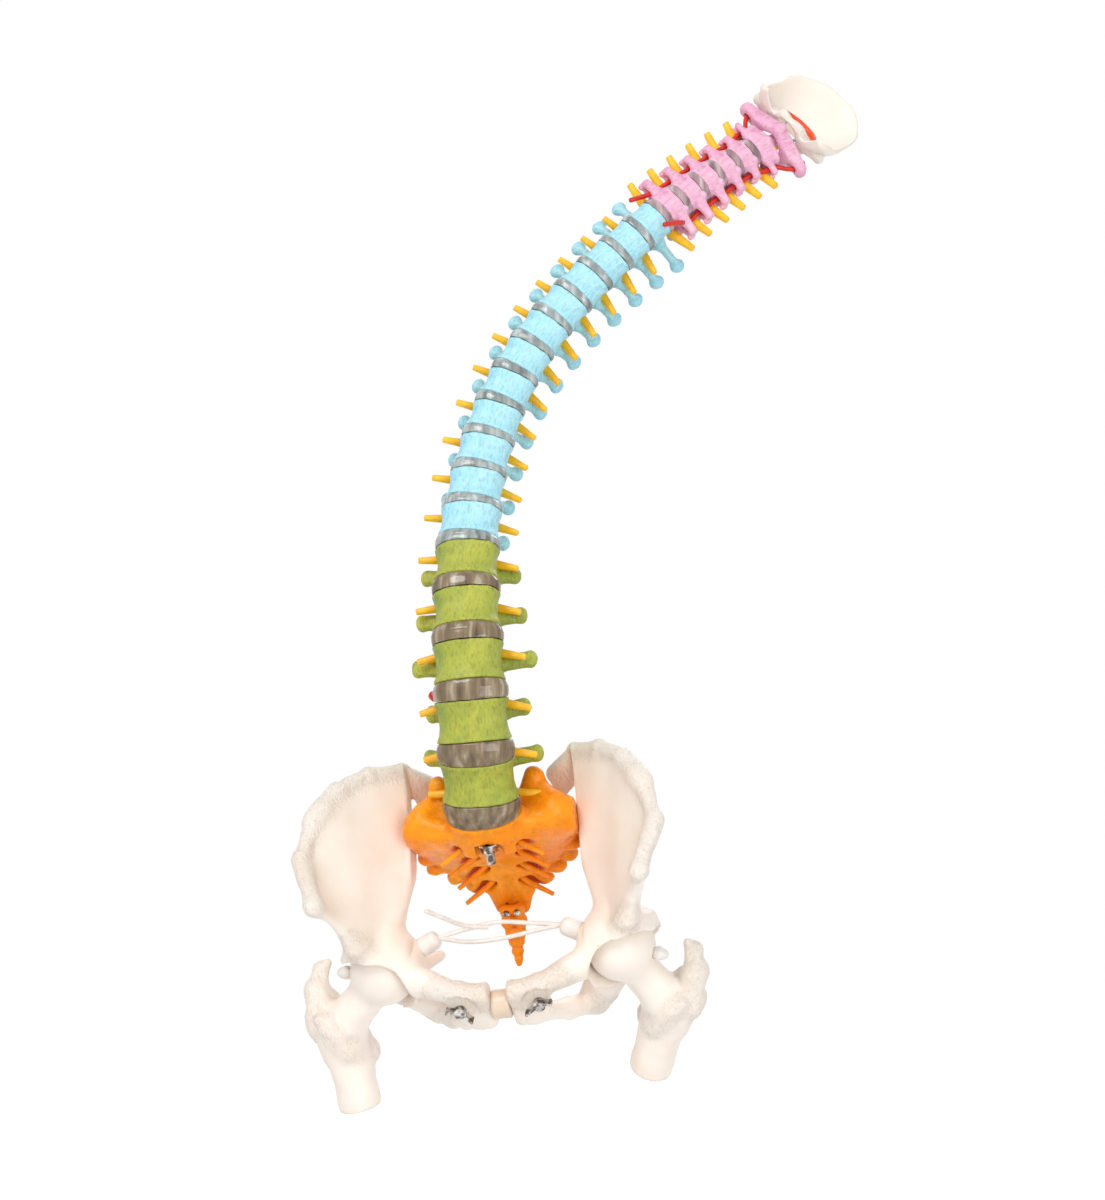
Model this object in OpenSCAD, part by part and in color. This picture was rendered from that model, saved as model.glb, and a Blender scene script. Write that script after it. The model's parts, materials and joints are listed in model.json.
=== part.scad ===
// Painted flexible spine model with pelvis and upper femurs, life size, in millimetres.
// +Z is up, +X is the model's left side and +Y is its back. The origin is on the axis of the
// threaded stud of the core, at the front face of its nut, below the top of the sacrum.

/* [Lumbar vertebrae] */
// Width of the body of L5
lumbar_low_w = 52; // [46:0.5:56]
// Width of the body of L1
lumbar_high_w = 45; // [40:0.5:50]
// Front to back depth of the body of L5
lumbar_low_d = 36; // [32:0.5:40]
// Front to back depth of the body of L1
lumbar_high_d = 32; // [28:0.5:36]
// Height of the body of L5
lumbar_low_h = 28; // [25:0.5:31]
// Height of the body of L1
lumbar_high_h = 25; // [22:0.5:28]
// Thickness of the disc between L5 and the sacrum
lumbar_low_disc = 12; // [10:0.25:14]
// Thickness of the disc between L1 and L2
lumbar_high_disc = 9.5; // [8:0.25:11]
// Tip to tip span of the longest transverse processes, those of L3
lumbar_span = 86; // [76:1:92]
// How far the spinous processes reach behind the canal
lumbar_spine_reach = 26; // [20:0.5:32]

/* [Thoracic vertebrae] */
// Width of the body of T12
thoracic_low_w = 43; // [37:0.5:45]
// Width of the body of T1
thoracic_high_w = 31; // [27:0.5:34]
// Front to back depth of the body of T12
thoracic_low_d = 30; // [27:0.5:33]
// Front to back depth of the body of T1
thoracic_high_d = 20; // [18:0.5:23]
// Height of the body of T12
thoracic_low_h = 22.5; // [20:0.5:25]
// Height of the body of T1
thoracic_high_h = 16.5; // [14:0.5:19]
// Thickness of the disc between T12 and L1
thoracic_low_disc = 8.5; // [7:0.25:10]
// Thickness of the disc between T1 and T2
thoracic_high_disc = 5.5; // [4.5:0.25:6.5]
// Tip to tip span of the transverse processes of T12
thoracic_low_span = 51; // [46:1:56]
// Tip to tip span of the transverse processes of T1
thoracic_high_span = 72; // [64:1:78]
// How far the spinous processes reach behind the canal
thoracic_spine_reach = 24; // [18:0.5:30]

/* [Neck vertebrae] */
// Width of the body of C7
neck_low_w = 27; // [24:0.5:30]
// Width of the body of C3
neck_high_w = 23; // [20:0.5:26]
// Front to back depth of the body of C7
neck_low_d = 18; // [16:0.5:20]
// Front to back depth of the body of C3
neck_high_d = 16; // [14:0.5:18]
// Height of the body of C7
neck_low_h = 13.5; // [12:0.25:15]
// Height of the body of C3
neck_high_h = 12; // [10.5:0.25:13.5]
// Thickness of the discs of the neck
neck_disc = 6; // [5:0.25:7]
// Tip to tip span of the transverse processes of C7
neck_low_span = 58; // [52:1:64]
// Tip to tip span of the transverse processes of C3
neck_high_span = 44; // [40:1:50]
// How far the spinous processes reach behind the canal
neck_spine_reach = 17; // [13:0.5:22]
// Tip to tip span of the transverse processes of the atlas
atlas_span = 73; // [66:1:78]
// Gap between two bones where there is no disc
bone_gap = 2.6; // [2.2:0.1:3]

/* [Core] */
// Diameter of the flexible core
core_d = 9; // [7:0.5:10]
// Diameter of the thin rod that carries the ring through the top two vertebrae
rod_d = 5; // [4:0.25:5.5]
// Clearance round the core in the bores that it threads
core_gap = 0.6; // [0.4:0.1:1]
// Diameter of the threaded stud at the lower end of the core
stud_d = 6; // [5:0.5:7]
// Free length of the stud in front of its nut
stud_free = 8; // [6:0.5:12]
// Width of the nut across its flats
nut_flats = 10; // [9:0.5:12]
// Thickness of the nut
nut_t = 5; // [4:0.25:6]
// Diameter of the washer under the nut
washer_d = 15; // [13:0.5:17]
// Inner diameter of the hanging ring
ring_inner_d = 14; // [12:0.5:18]
// Diameter of the wire of the hanging ring
ring_wire_d = 2.6; // [2:0.1:3.2]

/* [Soft parts] */
// Diameter of the spinal cord
cord_d = 8; // [6:0.5:9]
// Diameter of a nerve root where it leaves the spine
root_d = 5; // [4:0.25:5.5]
// Diameter of a nerve root at its tip
root_tip_d = 3; // [2.4:0.2:3.6]
// How far a nerve root stands out beside the vertebral body
root_reach = 18; // [14:0.5:24]
// Diameter of the vertebral arteries
artery_d = 3.6; // [3:0.2:4]
// Diameter of the elastic cord between the hips
elastic_d = 3; // [2.4:0.2:3.6]
// Diameter of the plugs that hold the elastic cord
plug_d = 13; // [11:0.5:15]

/* [Sacrum] */
// Width of the sacrum across its wings
sacrum_w = 116; // [108:1:122]
// Length of the sacrum from its top to its apex
sacrum_l = 106; // [98:1:112]
// Length of the coccyx
coccyx_l = 30; // [25:1:36]

/* [Hip bones and femurs] */
// Distance between the centres of the two femoral heads
hip_spread = 160; // [154:1:168]
// Diameter of the femoral head
head_d = 45; // [42:0.5:48]
// Clearance between the femoral head and its socket
head_gap = 1; // [0.9:0.1:1.3]
// Thickness of the wall of the socket
socket_t = 6.5; // [5:0.5:8]
// Thickness of the iliac blade at its thinnest
blade_t = 5; // [4:0.5:7]
// Width of the gap that the symphysis fills
symphysis_gap = 12; // [9:0.5:14]
// Diameter of the symphysis
symphysis_d = 19; // [17:0.5:21]
// Length of a femur from the centre of its head to its cut end
femur_l = 88; // [80:1:96]
// Diameter of the femoral shaft
shaft_d = 28; // [25:0.5:31]
// Diameter of a wing screw
wing_screw_d = 4; // [3:0.5:5]

/* [Skull plate] */
// Width of the skull plate
plate_w = 74; // [68:1:80]
// Thickness of the skull plate
plate_t = 5; // [4:0.5:7]
// Width of the great opening of the skull plate
foramen_w = 34; // [32:0.5:37]

/* [Hidden] */
LEVELS = ["l5", "l4", "l3", "l2", "l1", "t12", "t11", "t10", "t9", "t8", "t7", "t6", "t5", "t4", "t3", "t2", "t1",
          "c7", "c6", "c5", "c4", "c3", "c2", "c1"];
DISCS = ["disc_l5_s1", "disc_l4_l5", "disc_l3_l4", "disc_l2_l3", "disc_l1_l2", "disc_t12_l1", "disc_t11_t12",
         "disc_t10_t11", "disc_t9_t10", "disc_t8_t9", "disc_t7_t8", "disc_t6_t7", "disc_t5_t6", "disc_t4_t5",
         "disc_t3_t4", "disc_t2_t3", "disc_t1_t2", "disc_c7_t1", "disc_c6_c7", "disc_c5_c6", "disc_c4_c5",
         "disc_c3_c4", "disc_c2_c3"];

// The pose that the core holds: how far each vertebra from L5 up to the skull leans to its left,
// how far it leans forward, and how far it is turned about the upright, in degrees
LEAN = [-2, -4, -4.5, -4, -1, 3.5, 8, 13, 17.5, 23.5, 29.5, 35, 39, 42, 44, 45.5, 46.5, 47.5, 48.5, 49.5, 51, 52.5, 54, 51.5, 48];
NOD = [27, 9, -5, -14, -19, -19, -16, -12, -9, -6, -4, -4, -3, -3, -3, -4, -6, -9, -12, -14, -15, -16, -16, -15, -14];
TURN = [-8, -7, -6, -5, -4, -3, -2, -1, 0, 0, 0, 0, 0, 0, 0, 0, 0, 0, 0, 0, 0, 0, 0, 0, 0];
PELVIS_LEAN = -6;
PELVIS_TURN = -9;
PELVIS_NOD = 32;
SACRUM_NOD = 46;
// The same three angles for each femur
FEMUR_RIGHT = [-11, -9, 12];
FEMUR_LEFT = [18, -9, 34];
C2 = 22;
C1 = 23;
SKULL = 24;
SEAT = 0.05;
BACK_SHARE = 0.41;
OUTLINE = 10;
BORE_SIDES = 8;

BONE_WHITE = [0.96, 0.92, 0.86];
LUMBAR_GREEN = [0.55, 0.68, 0.25];
THORACIC_BLUE = [0.55, 0.82, 0.92];
NECK_PINK = [0.96, 0.66, 0.82];
SACRUM_ORANGE = [0.98, 0.58, 0.1];
NERVE_YELLOW = [1, 0.72, 0.1];
ARTERY_RED = [0.88, 0.13, 0.08];
DISC_GREY = [0.6, 0.57, 0.54];
CORD_WHITE = [0.94, 0.92, 0.88];
METAL = [0.75, 0.75, 0.77];

// Sizes of a vertebra by its level, counted up from L5
function ramp(k, k0, k1, a, b) = a + (b - a) * (k - k0) / (k1 - k0);
function eased(k, a, b) = a + (b - a) * pow((k - 5) / 11, 0.6);
function body_w(k) = k < 5 ? ramp(k, 0, 4, lumbar_low_w, lumbar_high_w) :
    k < 17 ? eased(k, thoracic_low_w, thoracic_high_w) : ramp(min(k, C2), 17, 21, neck_low_w, neck_high_w);
function body_d(k) = k < 5 ? ramp(k, 0, 4, lumbar_low_d, lumbar_high_d) :
    k < 17 ? eased(k, thoracic_low_d, thoracic_high_d) : ramp(min(k, C2), 17, 21, neck_low_d, neck_high_d);
function body_h(k) = k < 5 ? ramp(k, 0, 4, lumbar_low_h, lumbar_high_h) :
    k < 17 ? eased(k, thoracic_low_h, thoracic_high_h) :
    k < C2 ? ramp(k, 17, 21, neck_low_h, neck_high_h) : k == C2 ? neck_high_h + 2 : neck_high_h;
function disc_t(k) = k < 5 ? ramp(k, 0, 4, lumbar_low_disc, lumbar_high_disc) :
    k < 17 ? eased(k, thoracic_low_disc, thoracic_high_disc) : k <= C2 ? neck_disc : bone_gap;
function span(k) = k < 5 ? lumbar_span - [4, 14, 0, 9, 16][k] :
    k < 17 ? ramp(k, 5, 16, thoracic_low_span, thoracic_high_span) :
    k < C2 ? ramp(k, 17, 21, neck_low_span, neck_high_span) : k == C2 ? neck_high_span + 8 : atlas_span;
function canal_w(k) = k < 5 ? 24 : k < 17 ? 17 : 23;
function canal_d(k) = k < 5 ? 17 : k < 17 ? 15.5 : 14.5;
function back_y(k) = body_d(k) * BACK_SHARE;
function canal_y(k) = back_y(k) + canal_d(k) / 2;

// The attitude of a vertebra, and where it lies above the one below it
function rot_x(a) = [[1, 0, 0], [0, cos(a), -sin(a)], [0, sin(a), cos(a)]];
function rot_y(a) = [[cos(a), 0, sin(a)], [0, 1, 0], [-sin(a), 0, cos(a)]];
function rot_z(a) = [[cos(a), -sin(a), 0], [sin(a), cos(a), 0], [0, 0, 1]];
function attitude(lean, turn, nod) = rot_y(lean) * rot_z(turn) * rot_x(nod);
function frame(k) = attitude(LEAN[k], TURN[k], NOD[k]);
function up(k) = frame(k) * [0, 0, 1];

// The pelvis and the sacrum both turn about the middle of the lowest disc
sacrum_frame = attitude(PELVIS_LEAN, PELVIS_TURN, SACRUM_NOD);
pelvis_frame = attitude(PELVIS_LEAN, PELVIS_TURN, PELVIS_NOD);
stud_slope = -26;
stud_drop = 32;
washer_t = 1.2;
low_disc = -(sacrum_frame * rot_x(stud_slope) * [0, 0, -stud_drop]);
function in_sacrum(p) = low_disc + sacrum_frame * p;
function in_pelvis(p) = low_disc + pelvis_frame * p;
sacrum_z = -disc_t(0) / 2;

function disc_at(k) = k == 0 ? low_disc : disc_at(k - 1) +
    up(k - 1) * (disc_t(k - 1) / 2 + body_h(k - 1) + (k > C1 ? bone_gap : disc_t(k)) / 2);
disc_spots = [for (k = [0 : SKULL]) disc_at(k)];
function body_at(k) = disc_spots[k] + up(k) * (disc_t(k) + body_h(k)) / 2;
function placed(k, p) = body_at(k) + frame(k) * p;
module at_level(k) {
    translate(body_at(k)) rotate([0, LEAN[k], 0]) rotate([0, 0, TURN[k]]) rotate([NOD[k], 0, 0]) children();
}
module at_sacrum() {
    translate(low_disc) rotate([0, PELVIS_LEAN, 0]) rotate([0, 0, PELVIS_TURN]) rotate([SACRUM_NOD, 0, 0]) children();
}
module at_pelvis() {
    translate(low_disc) rotate([0, PELVIS_LEAN, 0]) rotate([0, 0, PELVIS_TURN]) rotate([PELVIS_NOD, 0, 0]) children();
}
module at_stud() {
    at_sacrum() rotate([stud_slope, 0, 0]) translate([0, 0, -stud_drop]) children();
}

// General shapes
module loft(rings) {
    n = len(rings[0]);
    m = len(rings);
    polyhedron([for (r = rings) for (p = r) p],
        concat([[for (j = [0 : n - 1]) j]],
               [for (i = [0 : m - 2]) for (j = [0 : n - 1]) each
                   [[i * n + j, (i + 1) * n + j, (i + 1) * n + (j + 1) % n],
                    [i * n + j, (i + 1) * n + (j + 1) % n, i * n + (j + 1) % n]]],
               [[for (j = [n - 1 : -1 : 0]) (m - 1) * n + j]]), convexity = 6);
}
// The rings run round a hole: up the outside and down the inside
module hoop(rings) {
    n = len(rings[0]);
    m = len(rings);
    polyhedron([for (r = rings) for (p = r) p],
               [for (i = [0 : m - 1]) for (j = [0 : n - 1]) let (i2 = (i + 1) % m, j2 = (j + 1) % n) each
                   [[i * n + j, i2 * n + j, i2 * n + j2], [i * n + j, i2 * n + j2, i * n + j2]]], convexity = 6);
}
function unit(v) = v / norm(v);
function direction(path, i) = unit(path[min(i + 1, len(path) - 1)] - path[max(i - 1, 0)]);
function ring_round(p, d, r, sides) = let (a = unit(cross([0, 1, 0], d)), b = cross(d, a))
    [for (j = [0 : sides - 1]) p + r * (cos(360 * (j + 0.5) / sides) * a + sin(360 * (j + 0.5) / sides) * b)];
// A round tube along a path, with its own radius at each point
module tube(path, radii, sides = 8) {
    loft([for (i = [0 : len(path) - 1])
        ring_round(path[i], direction(path, i), is_list(radii) ? radii[i] : radii, sides)]);
}
// A ball of the same reach whether it is coarse or fine
module ball(r, fn) {
    sphere(fn == 4 ? 1.32 * r : r, $fn = fn);
}
// A round limb between two points
module limb(p, q, r1, r2, fn = 4) {
    hull() {
        translate(p) ball(r1, fn);
        translate(q) ball(r2, fn);
    }
}
// The same limb on both sides
module pair(p, q, r1, r2, fn = 4) {
    for (s = [-1, 1]) limb([s * p[0], p[1], p[2]], [s * q[0], q[1], q[2]], r1, r2, fn);
}
// A thin web between points that each have their own radius: [x, y, z, r]
module web(points, fn = 4) {
    hull() for (p = points) translate([p[0], p[1], p[2]]) ball(p[3], fn);
}
module bar(p, q, d, fn = 8) {
    v = q - p;
    translate(p) rotate([0, acos(v[2] / norm(v)), atan2(v[1], v[0])]) cylinder(h = norm(v), d = d, $fn = fn);
}

// A tapered rod with flat ends
module rod(p, q, r1, r2, fn = 5) {
    v = q - p;
    hull() translate(p) rotate([0, acos(v[2] / norm(v)), atan2(v[1], v[0])]) cylinder(h = norm(v), r1 = r1, r2 = r2, $fn = fn);
}

module rod_pair(p, q, r1, r2) {
    for (s = [-1, 1]) rod([s * p[0], p[1], p[2]], [s * q[0], q[1], q[2]], r1, r2);
}

// A vertebral body: a kidney outline with a waist
function body_ring(w, d, z, s) = [for (j = [0 : OUTLINE - 1]) let (a = 360 * (j + 0.5) / OUTLINE)
    [s * w / 2 * cos(a), s * d * (sin(a) > 0 ? BACK_SHARE : 0.5) * sin(a), z]];
module waisted_body(k, waist) {
    w = body_w(k);
    d = body_d(k);
    h = body_h(k);
    loft([body_ring(w, d, -h / 2, 1), body_ring(w, d, -h * 0.18, waist), body_ring(w, d, h * 0.18, waist),
          body_ring(w, d, h / 2, 1)]);
}
module core_bore(k, d) {
    cylinder(h = 3 * body_h(k), d = d + 2 * core_gap, center = true, $fn = BORE_SIDES);
}

// Lumbar vertebra: a heavy body, long side processes and a deep spinous process
module lumbar(k) {
    h = body_h(k);
    cy = canal_y(k);
    cw = canal_w(k) / 2;
    end_y = cy + canal_d(k) / 2;
    color(LUMBAR_GREEN) at_level(k) difference() {
        union() {
            waisted_body(k, 0.88);
            rod_pair([cw + 2.5, back_y(k) - 5, h * 0.2], [cw + 3, cy + 2, h * 0.18], 5.4, 5);
            rod_pair([cw + 4, cy + 1, h * 0.12], [0, end_y + 4, -h * 0.12], 5, 4.8);
            pair([cw + 4, cy - 1, h * 0.15], [span(k) / 2 - 5, cy + 2, h * 0.15 + 2], 4.5, 4.8);
            pair([cw - 5, end_y + 1, -h * (k == 1 ? 0.4 : 0.52)], [cw + 4, cy + 7, h * (k == 0 ? 0.34 : 0.44)], 3.8, 4.2);
            web([[0, end_y + 3, h * 0.05, 4], [0, end_y + 3, -h * 0.3, 4],
                 [0, end_y + lumbar_spine_reach - 5, -h * 0.2, 3.5], [0, end_y + lumbar_spine_reach - 5, -h * 0.42, 4.5]]);
        }
        core_bore(k, core_d);
    }
}

// Thoracic vertebra: its processes slope down and back
module thoracic(k) {
    h = body_h(k);
    cy = canal_y(k);
    cw = canal_w(k) / 2;
    end_y = cy + canal_d(k) / 2;
    drop = thoracic_spine_reach * (k > 7 && k < 14 ? 0.95 : 0.6);
    color(THORACIC_BLUE) at_level(k) difference() {
        union() {
            waisted_body(k, 0.9);
            rod_pair([cw + 1, back_y(k) - 4, h * 0.22], [cw + 2, cy + 2, h * 0.2], 4.25, 4);
            rod_pair([cw + 3, cy + 1, h * 0.16], [0, end_y + 3, -h * 0.14], 4, 3.8);
            pair([cw + 2.5, cy + 1, h * 0.15], [span(k) / 2 - 5, cy + 10, h * 0.25], 3.8, 5);
            pair([cw - 3, end_y + 1.5, -h * 0.42], [cw + 0.5, cy + 5, h * 0.42], 3, 3);
            web([[0, end_y + 2, -h * 0.05, 3.6], [0, end_y + 2, -h * 0.3, 3],
                 [0, end_y + thoracic_spine_reach - 3, -drop, 2.8]]);
        }
        core_bore(k, core_d);
    }
}

// Neck vertebra: a small body between side processes that the artery passes through
function artery_x(k) = k == C1 ? atlas_span / 2 - 9 : body_w(k) / 2 + artery_d / 2 + (k == C2 ? 5 : 1.4);
function artery_y(k) = body_d(k) * 0.12;
module artery_bores(k) {
    for (s = [-1, 1]) translate([s * artery_x(k), artery_y(k), 0])
        cylinder(h = 3 * body_h(k), d = artery_d + 2.4 * core_gap, center = true, $fn = 6);
}
module neck(k) {
    h = body_h(k);
    cy = canal_y(k);
    cw = canal_w(k) / 2;
    end_y = cy + canal_d(k) / 2;
    ay = artery_y(k);
    tip = span(k) / 2 - 3;
    color(NECK_PINK) at_level(k) difference() {
        union() {
            waisted_body(k, 0.94);
            pair([body_w(k) / 2 - 2, ay - 4, 0], [tip, ay - 1.8, 1], 3.2, 2.8);
            pair([cw - 1, ay + 6, 0], [tip, ay + 2, 0], 3, 2.8);
            rod_pair([body_w(k) / 2 - 5.5, back_y(k) - 3, 0], [cw + 2, cy + 2, 0], 3.4, 3.6);
            rod_pair([cw + 2.5, cy + 1, 0], [0, end_y + 2, -1], 3.4, 3.2);
            rod_pair([cw + 2, cy + 1.5, -h * 0.58], [cw + 2, cy + 1.5, h * 0.58], 3.4, 3.4);
            pair([0, end_y + 1, -1], [2, end_y + neck_spine_reach * (k == 17 ? 1.3 : 0.8), -h * 0.35], 3, 2.2);
        }
        core_bore(k, core_d);
        artery_bores(k);
    }
}

// Second vertebra, with the tooth that stands up inside the ring of the first
tooth_r = 5;
tooth_top = body_h(C2) / 2 + bone_gap + body_h(C1) - 2;
module axis_vertebra() {
    k = C2;
    h = body_h(k);
    cy = canal_y(k);
    cw = canal_w(k) / 2;
    end_y = cy + canal_d(k) / 2;
    ay = artery_y(k);
    color(NECK_PINK) at_level(k) difference() {
        union() {
            waisted_body(k, 0.94);
            limb([0, 0, 0], [0, 0, tooth_top - tooth_r], tooth_r + 1, tooth_r, 8);
            pair([6, 1, h * 0.1], [cw + 1.6, 2, h * 0.5 - 4.8], 4.5, 4.7);
            pair([cw, ay - 4, -h * 0.2], [span(k) / 2 - 3, ay - 3, -h * 0.25], 3, 2.8);
            pair([cw, ay + 5, -h * 0.1], [span(k) / 2 - 3, ay + 3.4, -h * 0.25], 3, 2.8);
            pair([cw + 1, 6, 0], [cw + 1.5, cy + 2, -h * 0.1], 3.4, 3.4);
            pair([cw + 1.5, cy + 2, -h * 0.1], [1.5, end_y + 2, -h * 0.1], 3.4, 3.6);
            pair([cw + 1.5, cy + 2, -h * 0.1], [cw + 2, cy + 1.5, -h * 0.36], 3.4, 3);
            pair([0, end_y + 1, 0], [2.5, end_y + neck_spine_reach * 0.8, -h * 0.3], 3.4, 3);
        }
        core_bore(k, rod_d);
        translate([0, 0, -h]) cylinder(h = h, d = core_d + 2 * core_gap, $fn = BORE_SIDES);
        artery_bores(k);
    }
}

// First vertebra: a ring round the tooth, with two side masses
module atlas() {
    k = C1;
    h = body_h(k);
    mass_x = canal_w(k) / 2 + 4.5;
    ring_back = canal_y(k) + canal_d(k) / 2 + 6;
    ring_front = -tooth_r - 7;
    color(NECK_PINK) at_level(k) difference() {
        union() {
            pair([mass_x, -1, -h * 0.2], [mass_x + 1, 1, h * 0.2], 6, 6.2, 6);
            for (m = [-1, 1]) web([[0, ring_front, -2.6, 3.4], [0, ring_front, 2.6, 3.4],
                                   [m * (mass_x - 2), -4, -2.4, 4], [m * (mass_x - 2), -4, 2.4, 4]]);
            pair([mass_x + 2, 4, 0], [12, ring_back - 5, 0], 3.4, 3);
            pair([12, ring_back - 5, 0], [0, ring_back, 0], 3, 3.4);
            pair([mass_x + 3, -2.5, 0], [atlas_span / 2 - 5, -1.5, -1], 3.4, 3.2);
            pair([mass_x + 3, 5, 0], [atlas_span / 2 - 5, 4, -1], 3.2, 3.2);
        }
        translate([0, 0, -h]) cylinder(h = 2 * h, r = tooth_r + 2.4, $fn = 14);
        artery_bores(k);
        for (z = [-1, 1]) translate([0, 0, z * h]) cube([2 * atlas_span, 2 * atlas_span, h], center = true);
    }
}

module vertebra(k) {
    if (k < 5) lumbar(k);
    else if (k < 17) thoracic(k);
    else if (k < C2) neck(k);
    else if (k == C2) axis_vertebra();
    else atlas();
}

// A disc fills the wedge between two end plates, round the core
function above(k, ring) = [for (p = ring) placed(k, p)];
function below(k, ring) = [for (p = ring) k == 0 ? in_sacrum(p) : placed(k - 1, p)];
function bore_ring(z, y = 0, r = core_d / 2 + core_gap) = [for (j = [0 : OUTLINE - 1]) let (a = 360 * (j + 0.5) / OUTLINE)
    [r * cos(a), y + r * sin(a), z]];
module disc(k) {
    low_z = k == 0 ? sacrum_z + SEAT : body_h(k - 1) / 2 + SEAT;
    high_z = -body_h(k) / 2 - SEAT;
    low = below(k, body_ring(body_w(max(k - 1, 0)), body_d(max(k - 1, 0)), low_z, 0.98));
    high = above(k, body_ring(body_w(k), body_d(k), high_z, 0.98));
    // The stud slopes through the top of the sacrum, so the hole there is set forward and is wider
    inner_low = below(k, k == 0 ? bore_ring(low_z, -low_z * tan(stud_slope), 1.12 * core_d / 2 + core_gap) : bore_ring(low_z));
    inner_high = above(k, bore_ring(high_z));
    inner_middle = (inner_low + inner_high) / 2;
    off = disc_spots[k] - (inner_middle[0] + inner_middle[OUTLINE / 2]) / 2;
    middle = [for (j = [0 : OUTLINE - 1]) let (m = (low[j] + high[j]) / 2) m + (m - disc_spots[k]) * 0.06];
    color(DISC_GREY) union() {
        hoop([low, middle, high, inner_high, [for (p = inner_middle) p + off], inner_low]);
        // The slipped part of this disc bulges out beside the nerve root
        if (k == 2) translate(disc_spots[k]) rotate([0, LEAN[k], 0]) rotate([0, 0, TURN[k]]) rotate([NOD[k], 0, 0])
            web([[-body_w(k) / 2 + 3, 5, 0.3, 3.4], [-body_w(k) / 2 - 1, 8, 0.4, 3.5]], 8);
    }
}

// The core bends at the middle of each disc and is straight inside each vertebra
core_foot = stud_drop - nut_t - washer_t - 9;
core_path = concat([in_sacrum(rot_x(stud_slope) * [0, 0, -core_foot])], [for (k = [0 : C2]) disc_spots[k]],
                   [placed(C2, [0, 0, -1])]);
ring_r = (ring_inner_d + ring_wire_d) / 2;
module flexible_core() {
    color(METAL) {
        tube(core_path, core_d / 2, BORE_SIDES);
        at_level(C2) translate([0, 0, -1.5]) cylinder(h = tooth_top + 5, d = rod_d, $fn = 24);
        at_level(C2) translate([0, 0, tooth_top + 3 + ring_r]) rotate([90, 0, 0])
            rotate_extrude($fn = 32) translate([ring_r, 0]) circle(d = ring_wire_d, $fn = 16);
    }
}

// Spinal cord with a pair of nerve roots at each disc and through the holes of the sacrum
foramina = [[21, -30], [20, -50], [19, -68], [17, -84]];
function canal_spot(k) = placed(k, [0, canal_y(k), 0]);
function root_depth(k) = k < 17 ? -1 : -3.5;
function root_fall(k) = k == 0 ? -6 : k == 1 ? 2 : k < 5 ? 5 : 3;
module spinal_cord() {
    path = concat([in_sacrum([0, 20, -78]), in_sacrum([0, 20, -45]), in_sacrum([0, 21, -14])],
                  [for (k = [0 : C1]) canal_spot(k)], [placed(C1, [0, canal_y(C1), body_h(C1) + 6])]);
    color(NERVE_YELLOW) {
        tube(path, concat([2, 3, 3.6], [for (k = [0 : C1 + 1]) cord_d / 2]), 6);
        for (k = [0 : C2]) for (s = [-1, 1]) {
            z = -(body_h(k) + disc_t(k)) / 2;
            y = canal_y(k) + root_depth(k);
            rod(placed(k, [s * 2, y, z]), placed(k, [s * (body_w(k) / 2 + root_reach - (k < 17 ? 5 : 1)), y - 6, z - root_fall(k)]),
                root_d / 2, root_tip_d / 2, 4);
        }
        for (f = foramina) for (s = [-1, 1])
            rod(in_sacrum([s * 2, 20, f[1] + 6]), in_sacrum([s * (f[0] + 3), -12, f[1] - 5]), root_d * 0.4, root_tip_d / 2, 4);
    }
}

// The two arteries run up through the side processes of the neck
module vertebral_arteries() {
    color(ARTERY_RED) for (s = [-1, 1])
        tube(concat([placed(17, [s * artery_x(17), artery_y(17), -16])],
                    [for (k = [17 : C1]) for (z = [-4, 4]) placed(k, [s * artery_x(k), artery_y(k), k == C2 ? z - 3 : z])],
                    [placed(C1, [s * artery_x(C1), artery_y(C1), 8])]), artery_d / 2, 6);
}

// Sacrum: a wedge with wings, a canal, four pairs of holes and a flat seat for the nut
function oval(w, front, back, z) = [for (j = [0 : 11]) let (a = 30 * (j + 0.5))
    [w * cos(a), (front + back) / 2 + (back - front) / 2 * sin(a), z]];
module sacrum() {
    wing = sacrum_w / 2;
    q = sacrum_l / 106;
    color(SACRUM_ORANGE) at_sacrum() difference() {
        union() {
            loft([oval(9, 1, 11, -109 * q), oval(18, 6, 24, -95 * q), oval(28, 8, 30, -80 * q), oval(wing - 8, 6, 31, -62 * q),
                  oval(wing - 1, -1, 33, -46), oval(wing + 6, -9, 31, -28), oval(wing + 4, -12, 26, -16), oval(wing - 12, -10, 20, -9)]);
            loft([body_ring(0.8 * body_w(0), 0.9 * body_d(0), -34, 0.9), body_ring(body_w(0), body_d(0), -14, 0.94),
                  body_ring(body_w(0), body_d(0), sacrum_z, 0.98)]);
            pair([28, 26, -16], [32, 29, -5], 6, 5);
            pair([32, 24, -14], [44, 10, -14], 6, 7);
            pair([22, 31, -36], [18, 29, -84], 4, 3);
            web([[0, 33, -22, 4], [0, 38, -46, 3.6], [0, 34, -76, 3]]);
        }
        for (s = [-1, 1]) translate([s * (wing + 50), 0, -40]) cube([100, 200, 200], center = true);
        limb([0, 20, 10], [0, 20, -46], 8.6, 5);
        limb([0, 20, -46], [0, 20, -80], 5, 3.4);
        for (f = foramina) for (s = [-1, 1])
            rod([s * 2, 20, f[1] + 6], [s * (f[0] * 1.25 + 3.25), -20, f[1] - 7.75], root_d * 0.4 + 1.2, root_tip_d / 2 + 1.4, 6);
        rotate([stud_slope, 0, 0]) {
            translate([0, 0, -stud_drop - 30]) cylinder(h = nut_t + washer_t + 30, d = washer_d + 4, $fn = 12);
            translate([0, 0, -stud_drop]) cylinder(h = stud_drop + 20, d = core_d + 2 * core_gap, $fn = BORE_SIDES);
        }
        coccyx_plate(0.2);
        coccyx_screw_holes();
    }
}

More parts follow.
